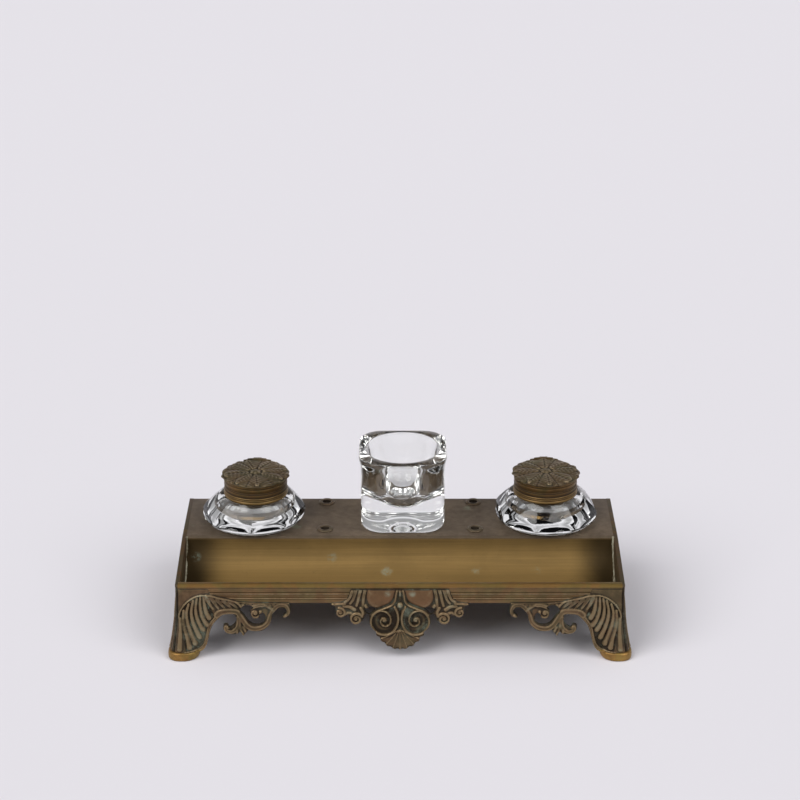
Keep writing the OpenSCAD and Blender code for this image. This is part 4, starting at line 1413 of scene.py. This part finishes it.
class INKSTAND_OT_ends(InkstandPiece, bpy.types.Operator):
    """Model the plates that close the trough's ends and the back, with their solder"""

    bl_idname = "inkstand.ends"
    bl_label = "End and Back Plates"

    def build(self):
        wear = sizes().edge_wear
        for node in ("side_plate_left", "side_plate_right", "back_plate"):
            plate = bevelled(copied(node + "_brass", node), 0.7 * wear)
            settle(plate, "stand", "plate_brass", node, crease=35)
        for side, sign in (("left", -1), ("right", 1)):
            bead = self.solder(sign)
            bead.name = bead.data.name = "solder_" + side
            settle(bead, "stand", "solder", crease=60)

    @staticmethod
    def solder(sign):
        """A lumpy fillet of solder where the trough meets the end plate."""
        rng = np.random.default_rng(7 + sign)
        face = sign * abs(PLATE_HIGH[0])
        start = math.pi + math.asin((TROUGH_MIDDLE[1] - FRAME_TOP) / TROUGH_R) + 0.03
        turns = np.linspace(start, 2 * math.pi - 0.16, 110)
        lumps = np.convolve(rng.normal(0, 1, 150), np.ones(9) / 9, "same")[20:130]
        section = ((-0.3, -0.3), (-0.3, 0.95), (0.12, 0.62), (0.42, 0.32), (0.95, -0.3))
        rings = []
        for a, lump in zip(turns, lumps):
            size = 1.15 + 0.9 * lump
            ring = []
            for along, rise in section:
                r = TROUGH_R - rise * size
                y = TROUGH_MIDDLE[0] + r * math.cos(a)
                z = TROUGH_MIDDLE[1] + r * math.sin(a)
                ring.append((face - sign * along * size * 1.1, y, z))
            rings.append(ring)
        return rolled("solder", rings, ends_open=True)


class INKSTAND_OT_fixings(InkstandPiece, bpy.types.Operator):
    """Model the angle strips, rivets and nuts that hold the stand together"""

    bl_idname = "inkstand.fixings"
    bl_label = "Angles, Rivets and Nuts"

    def build(self):
        wear = sizes().edge_wear
        for node, finish, width in (
            ("deck_angle_left", "rough_brass", wear),
            ("deck_angle_right", "rough_brass", wear),
            ("frame_rivets", "rough_brass", wear),
            ("socket_nuts", "socket_brass", 0.6 * wear),
        ):
            piece = bevelled(copied(node + "_brass", node), width)
            settle(piece, "stand", finish, node, crease=35)


class INKSTAND_OT_sockets(InkstandPiece, bpy.types.Operator):
    """Turn the four sockets that a pen rack would stand in"""

    bl_idname = "inkstand.sockets"
    bl_label = "Pen Rack Sockets"

    def build(self):
        low = DECK_Z - 3.6
        top = DECK_Z + 1.1
        profile = [
            (2.5, low), (SHANK_R - 0.3, low), (SHANK_R, low + 0.3), (SHANK_R, DECK_Z - 0.3),
            (SHANK_R + 0.1, DECK_Z), (4.7, DECK_Z), (5.0, DECK_Z + 0.12), (5.1, DECK_Z + 0.35),
            (5.0, DECK_Z + 0.6), (4.6, top - 0.22), (4.1, top - 0.08), (3.6, top),
            (3.1, top - 0.06), (2.8, top - 0.25), (2.6, top - 0.5), (2.5, top - 0.9), (2.5, low),
        ]
        turns = [turned(f"socket_{i}", place, profile, 64) for i, place in enumerate(SOCKETS)]
        sockets = joined("sockets", *turns)
        points = coordinates(sockets)
        away = np.min([np.hypot(*(points[:, :2] - place).T) for place in SOCKETS], axis=0)
        # The bores' inner walls are marked hollow, which paints shade into them
        store(sockets, "raised", np.where((away < 2.7) & (points[:, 2] < top - 0.4), -1.0, 0.25))
        settle(sockets, "stand", "socket_brass", "pen_rack_sockets", crease=50)


class INKSTAND_OT_tumbler(InkstandPiece, bpy.types.Operator):
    """Model the thick square glass tumbler with its round bore and dished base"""

    bl_idname = "inkstand.tumbler"
    bl_label = "Tumbler"

    def build(self):
        low, high = node_box("tumbler")
        centre = (low + high) / 2 + [0.5, 0, 0]  # a little right of its solid
        z0, z1 = low[2], high[2]
        rim = (high[0] - low[0]) / 2 - 0.25
        body = rim - 1.15
        turn = np.linspace(0, 2 * math.pi, 160, endpoint=False) + math.pi / 160
        outside = [
            (body - 7.5, z0 + 0.12), (body - 4.2, z0 + 0.03), (body - 3.0, z0),
            (body - 1.9, z0 + 0.25), (body - 0.9, z0 + 0.95), (body - 0.25, z0 + 1.95),
            (body, z0 + 3.1), (body, z0 + 20), (body + 0.1, z1 - 10), (body + 0.45, z1 - 7),
            (rim - 0.5, z1 - 5), (rim - 0.15, z1 - 3.4), (rim, z1 - 2), (rim, z1 - 1.0),
            (rim - 0.12, z1 - 0.5), (rim - 0.4, z1 - 0.15), (rim - 0.9, z1),
        ]
        bowl, drop, floor = 20.3, 17.5, z1 - 36.0
        bore = [
            (24.1, z1), (23.6, z1 - 0.12), (23.3, z1 - 0.5), (23.1, z1 - 1.6), (22.4, z1 - 6),
            (21.3, z1 - 12),
        ]
        for slope in np.radians(np.arange(84, 4, -6)):
            bore.append((bowl * math.sin(slope), floor + drop * (1 - math.cos(slope))))
        bore.append((0.0, floor))
        dish = [
            (0.0, 3.6), (5.0, 3.3), (9.0, 2.5), (12.5, 1.45), (14.5, 0.7), (16.0, 0.05),
            (16.3, 0.0),
        ]
        rings = [level_ring(centre, r, z0 + z, turn) for r, z in dish]
        for half, z in outside:
            corner = max(TUMBLER_CORNER_R + half - body, 4.0)
            rings.append(level_ring(centre, square_reach(turn, half, corner), z, turn))
        rings += [level_ring(centre, r, z, turn) for r, z in bore]
        tumbler = rolled("tumbler_glass", rings)
        settle(tumbler, "tumbler_body", "clear_glass", "tumbler")


class INKSTAND_OT_bottles(InkstandPiece, bpy.types.Operator):
    """Model the two round glass ink bottles with their faceted wells"""

    bl_idname = "inkstand.bottles"
    bl_label = "Ink Bottles"

    # Height over the deck and radius of the glass, outside and inside
    OUTSIDE = [
        (0.9, 0), (0.8, 12), (0.3, 19), (0, 21.5), (0, 23.6), (0.3, 25.2), (0.9, 27.2), (1.7, 28.9),
        (2.6, 30.2), (3.8, 31.3), (5.2, 31.95), (6.6, 32.15), (7.8, 32.1), (9, 31.8), (10.2, 31.3),
        (11.5, 30.4), (13, 29.0), (15, 27.0), (17, 24.9), (18, 23.7), (18.5, 22.6), (18.6, 21),
        (18.6, 17.6), (18.7, 17.1), (19.1, 17), (28.2, 17), (28.6, 16.6),
    ]
    INSIDE = [
        (28.6, 11.2), (28.3, 10.7), (27.6, 10.5), (20, 10.5), (18.6, 11.4), (17.6, 13.6),
        (15.6, 18.4), (13, 21.4), (10.6, 22.1), (8.4, 21.8), (6.8, 20.2), (6.1, 17.2), (6, 12),
        (6, 0),
    ]

    def build(self):
        panels = sizes().bottle_panels
        part = math.pi / panels
        for side, first_edge in (("left", 0.0), ("right", 31.0)):
            body, neck = BOTTLES[side]
            first = math.radians(first_edge)
            turn = np.linspace(0, 2 * math.pi, panels * 16, endpoint=False) + first
            within = (turn - first) % (2 * part) - part
            flat = math.cos(part) / np.cos(within)
            rings = []
            for i, (z, r) in enumerate([*self.OUTSIDE, *self.INSIDE]):
                lean = np.clip((z - 5) / 13.6, 0, 1)
                x = body[0] + (neck[0] - body[0]) * lean
                y = body[1] + (neck[1] - body[1]) * lean
                cut = 0.0
                if i < len(self.OUTSIDE) and r > 17.2:
                    cut = 0.72 * smooth_step(4.6, 7.6, z) * (1 - smooth_step(18.55, 18.6, z))
                reach = r * (1 - cut * (1 - flat))
                rings.append(level_ring((x, y), reach, DECK_Z + z, turn))
            bottle = rolled("ink_bottle_glass_" + side, rings)
            settle(bottle, "bottle_" + side, "clear_glass", "ink_bottle_" + side, crease=16)


class INKSTAND_OT_collars(InkstandPiece, bpy.types.Operator):
    """Turn the reeded collars round the bottles' necks, with their hinge knuckles and cement"""

    bl_idname = "inkstand.collars"
    bl_label = "Collars"

    # Radius, and height over the bottle's shoulder, of reeds, grooves and plain bands
    PROFILE = [
        (17.8, 0.0), (19.3, 0.0), (19.75, 0.1), (19.95, 0.4), (20.0, 0.9), (19.95, 1.5),
        (19.6, 1.8), (19.55, 2.0), (19.75, 2.25), (19.85, 2.5), (19.75, 2.75), (19.55, 3.0),
        (19.55, 3.15), (19.8, 3.4), (19.9, 3.65), (19.8, 3.9), (19.55, 4.15), (19.5, 4.4),
        (19.6, 4.7), (19.65, 6.4), (19.55, 6.65), (19.4, 6.75), (19.4, 6.9), (19.6, 7.05),
        (19.75, 7.25), (19.6, 7.5), (19.5, 7.7), (19.65, 7.95), (19.75, 9.6), (19.7, 10.1),
        (19.55, 10.3), (19.55, 10.45), (19.65, 10.65), (19.75, 10.95), (19.75, 11.3), (19.7, 11.7),
        (19.5, 11.95), (19.2, 12.0), (18.1, 12.0), (17.85, 11.9), (17.8, 11.6), (17.8, 0.0),
    ]

    def build(self):
        for side in ("left", "right"):
            neck = BOTTLES[side][1]
            profile = [(r, SHOULDER_Z + z) for r, z in self.PROFILE]
            ring = turned("collar", neck, profile, 144)
            knuckles = cut_behind("collar_" + side, neck[1] + 19.2)
            collar = joined("collar_brass_" + side, ring, knuckles)
            self.mark(collar, neck)
            settle(collar, "bottle_" + side, "collar_brass", "collar_" + side, crease=50)
            cement = copied("cement_" + side, "neck_cement_" + side)
            settle(cement, "bottle_" + side, "cement", "neck_cement_" + side)
            pin = bevelled(copied("pin_" + side, "hinge_pin_" + side), 0.2 * MM)
            settle(pin, "bottle_" + side, "rough_brass", "hinge_pin_" + side)

    @staticmethod
    def mark(piece, neck):
        """Marks the reeds as raised and the grooves as hollow, and leaves the knuckles plain."""
        points = coordinates(piece) - [*neck, 0]
        r = np.hypot(points[:, 0], points[:, 1])
        raised = np.clip((r - 19.68) * 3.2, -1, 1)
        raised[points[:, 1] > 19] = 0.1
        store(piece, "raised", raised)
        store(piece, "bloom", np.zeros(len(points)))


class INKSTAND_OT_lids(InkstandPiece, bpy.types.Operator):
    """Carve the two leafy lids and their hinge knuckles"""

    bl_idname = "inkstand.lids"
    bl_label = "Lids"

    def build(self):
        for side, turned_by, seed in (("left", 0.2, 3), ("right", 0.05, 8)):
            neck = BOTTLES[side][1]
            disc = self.disc(neck, turned_by, seed)
            knuckle = cut_behind("lid_" + side, neck[1] + 19.6)
            lid = joined("lid_brass_" + side, disc, knuckle)
            x, y, z = (coordinates(lid) - [*neck, 0]).T
            angle, r = polar(x, y)
            here = self.leaf_height(angle, r, turned_by, seed)
            around = []
            for a in np.linspace(0, 2 * math.pi, 9)[:-1]:
                near = polar(x + 1.1 * math.cos(a), y + 1.1 * math.sin(a))
                around.append(self.leaf_height(*near, turned_by, seed))
            raised = np.clip((here - np.mean(around, axis=0)) * 2.4, -1, 1)
            on_top = (z > COLLAR_TOP + 0.9) & (r < 21.5)
            store(lid, "raised", np.where(on_top, raised, 0))
            store(lid, "bloom", np.where(on_top, 0.2 * (raised < -0.3), 0))
            settle(lid, f"lid_{side}_body", "lid_brass", "lid_" + side, crease=60)

    def disc(self, neck, turned_by, seed):
        """The lid's round plate: leafy above, flat below."""
        turn = np.linspace(0, 2 * math.pi, 264, endpoint=False)
        rim = self.rim(turn, turned_by, seed)
        rings = []
        for share in np.linspace(0, 1, 52):
            leaves = self.leaf_height(turn, rim * share, turned_by, seed)
            z = COLLAR_TOP + self.crown(share) + leaves
            rings.append(level_ring(neck, rim * share, z, turn))
        for r, rise in (
            (rim - 0.1, 0.7), (rim - 0.5, 0.25), (20.2, 0.05), (19.0, 0.0), (11.0, 0.0),
            (10.0, 0.1), (9.0, 0.6), (0.0, 0.6),
        ):
            rings.append(level_ring(neck, r, COLLAR_TOP + rise, turn))
        return rolled("lid", rings)

    @staticmethod
    def crown(share):
        """Height of the lid's plain dome over the collar."""
        return 1.75 - 0.85 * share**2 - 0.25 * smooth_step(0.9, 1.0, share)

    @staticmethod
    def rim(turn, turned_by, seed):
        """Radius of the lid's uneven edge."""
        nick = 0.32 * np.cos(16 * (turn - turned_by)) + 0.22 * np.sin(5 * turn + seed)
        return 21.15 + nick + 0.1 * np.sin(23 * turn + 2 * seed)

    @staticmethod
    def leaf_height(turn, r, turned_by, seed):
        """Height of the leaves over the dome: an upper tier over a lower one, and a small knob."""
        leaves = sizes().lid_leaves
        half = math.pi / leaves
        depth = sizes().lid_relief / MM
        rise = np.zeros(np.broadcast(turn, r).shape)
        wobble = 0.10 * np.sin(3 * turn + seed) + 0.06 * np.sin(7 * turn + 2.3 * seed)
        tiers = ((6.0, 21.4, 0.5, 0.42), (4.2, 18.4, 0.0, 0.95))
        for tier, (start, end, offset, lift) in enumerate(tiers):
            away = (turn - turned_by - wobble + offset * 2 * half + half) % (2 * half) - half
            along = np.clip((r - start) / (end - start), 0, 1.2)
            width = half * (0.50 + 0.72 * np.sin(np.pi * np.clip(along, 0, 1) ** 0.85) ** 0.8)
            width = width * np.clip((1.12 - along) / 0.3, 0, 1) ** 0.5
            across = np.clip(np.abs(away) / np.maximum(width, 1e-3), 0, 1)
            cup = np.sqrt(np.clip(1 - across**2, 0, 1))
            vein = np.exp(-((np.abs(away) * r / 0.42) ** 2))
            wave = along * 5.2 - np.abs(away) * 3.2 + 0.2 * seed + tier * 0.4
            ribs = 0.5 + 0.5 * np.cos(2 * math.pi * wave)
            leaf = lift * cup * (0.82 + 0.18 * along) + 0.2 * ribs * cup * (across < 0.95)
            leaf = np.where((across < 1) & (along > 0) & (along < 1.1), leaf - 0.28 * vein, 0)
            rise = np.maximum(rise, leaf * depth / 1.3)
        knob = np.clip(1 - (r / (3.5 + 0.35 * np.cos(6 * turn + seed))) ** 2, 0, 1)
        ring_at = np.exp(-(((r - 4.4) / 0.6) ** 2))
        return np.maximum(rise - 0.35 * ring_at, (1.0 * np.sqrt(knob) + 0.2 * knob) * (knob > 0))


class INKSTAND_OT_stage(InkstandPiece, bpy.types.Operator):
    """Set the camera, the pale floor and the soft studio light"""

    bl_idname = "inkstand.stage"
    bl_label = "Camera and Light"

    CAMERA_AT = (0.0, -1.2842, 0.684)
    CAMERA_TILT = 67.3  # from straight down, in degrees
    SENSOR = 36.0
    LENS = 103.5
    SUN_SPREAD = 44.0

    def build(self):
        scene = bpy.context.scene
        scene.view_settings.view_transform = "Standard"
        bpy.ops.object.camera_add(
            location=self.CAMERA_AT, rotation=(math.radians(self.CAMERA_TILT), 0.0, 0.0)
        )
        camera = bpy.context.object
        camera.data.sensor_width = self.SENSOR
        camera.data.lens = self.LENS
        camera.data.clip_end = 40.0
        scene.camera = camera

        bpy.ops.object.select_all(action="DESELECT")
        bpy.ops.mesh.primitive_plane_add(size=16.0)
        floor = bpy.context.object
        floor.name = floor.data.name = "floor"
        floor.data.materials.append(self.floor_paint())

        self.softbox("key_left", -50.0, 43.0, 1.95)
        self.softbox("key_right", 50.0, 43.0, 1.3)
        self.sky()

    @staticmethod
    def floor_paint():
        paint = Paint("backdrop")
        # Painted light: the floor is painted up to 2% lighter towards the back
        far = paint.axis(1).step(-0.6, 1.4)
        near, away = tuple(colours().backdrop), tint(colours().backdrop, 1.02)
        tone = paint.mix(far, near, away)
        return paint.shader(Base_Color=tone, Roughness=0.9, Specular_IOR_Level=0.1)

    def softbox(self, name, turn, rise, strength):
        """A broad soft light, turned from the front and raised by so many degrees."""
        bpy.ops.object.light_add(type="SUN", location=(0.0, 0.0, 2.0))
        lamp = bpy.context.object
        lamp.name = lamp.data.name = name
        lamp.data.energy = strength
        lamp.data.angle = math.radians(self.SUN_SPREAD)
        lamp.data.color = (1.0, 0.99, 0.975)
        lamp.rotation_euler = (math.radians(90.0 - rise), 0.0, math.radians(turn))

    @staticmethod
    def sky():
        """A dim room with a pale wall low behind the stand; the glass sees more of it."""
        world = bpy.data.worlds.new("studio")
        bpy.context.scene.world = world
        paint = Paint("", world)
        x, y, z = (paint.axis(i) for i in range(3))
        room, wall_tone = (0.10, 0.10, 0.11), (0.85, 0.84, 0.88)
        wall = y.step(-0.2, 0.3) * (1.0 - z.step(0.26, 0.47))
        seen = paint.mix(wall, room, wall_tone)
        boxes = (x.size() * 0.56 - y * 0.47 + z * 0.68).step(0.88, 0.94)
        through = paint.mix(boxes, (0.34, 0.34, 0.35), (0.95, 0.94, 0.92))
        through = paint.mix(wall, through, wall_tone)
        behind = y.step(-0.1, 0.4) * (1.0 - z.step(0.5, 0.85))
        above = z.step(0.06, 0.6) * (1.0 - behind * 0.8)
        spread = paint.mix(above, (0.02, 0.02, 0.021), (0.47, 0.47, 0.48))
        rays = [
            paint.node("ShaderNodeLightPath", {}, {}, f"Is {kind} Ray")
            for kind in ("Transmission", "Diffuse", "Camera")
        ]
        light = paint.mix(rays[1], paint.mix(rays[0], seen, through), spread)
        light = paint.mix(rays[2], light, (0.785, 0.77, 0.815))
        background = paint.node("ShaderNodeBackground", {}, {"Color": light, "Strength": 1.0})
        out = paint.tree.nodes.new("ShaderNodeOutputWorld")
        paint.tree.links.new(background, out.inputs["Surface"])


# ---- panel and start -----------------------------------------------------------------


PIECES = (
    INKSTAND_OT_sheet,
    INKSTAND_OT_ends,
    INKSTAND_OT_castings,
    INKSTAND_OT_side_castings,
    INKSTAND_OT_posts,
    INKSTAND_OT_fixings,
    INKSTAND_OT_sockets,
    INKSTAND_OT_tumbler,
    INKSTAND_OT_bottles,
    INKSTAND_OT_collars,
    INKSTAND_OT_lids,
    INKSTAND_OT_stage,
)


class INKSTAND_PT_pieces(bpy.types.Panel):
    """Sidebar panel with the inkstand's settings and pieces"""

    bl_idname = "INKSTAND_PT_pieces"
    bl_label = "Desk Inkstand"
    bl_space_type = "VIEW_3D"
    bl_region_type = "UI"
    bl_category = "Inkstand"

    def draw(self, context):
        for group in (context.scene.inkstand_sizes, context.scene.inkstand_colours):
            for name in group.bl_rna.properties.keys():
                if name not in ("rna_type", "name"):
                    self.layout.prop(group, name)
        for piece in PIECES:
            self.layout.operator(piece.bl_idname)


CLASSES = (InkstandSizes, InkstandColours, *PIECES, INKSTAND_PT_pieces)


def register():
    for kind in CLASSES:
        bpy.utils.register_class(kind)
    bpy.types.Scene.inkstand_sizes = PointerProperty(type=InkstandSizes)
    bpy.types.Scene.inkstand_colours = PointerProperty(type=InkstandColours)


def unregister():
    del bpy.types.Scene.inkstand_colours
    del bpy.types.Scene.inkstand_sizes
    for kind in reversed(CLASSES):
        bpy.utils.unregister_class(kind)


def main():
    register()
    make_finishes()
    for piece in PIECES:
        group, name = piece.bl_idname.split(".")
        getattr(getattr(bpy.ops, group), name)()


if __name__ == "__main__":
    main()
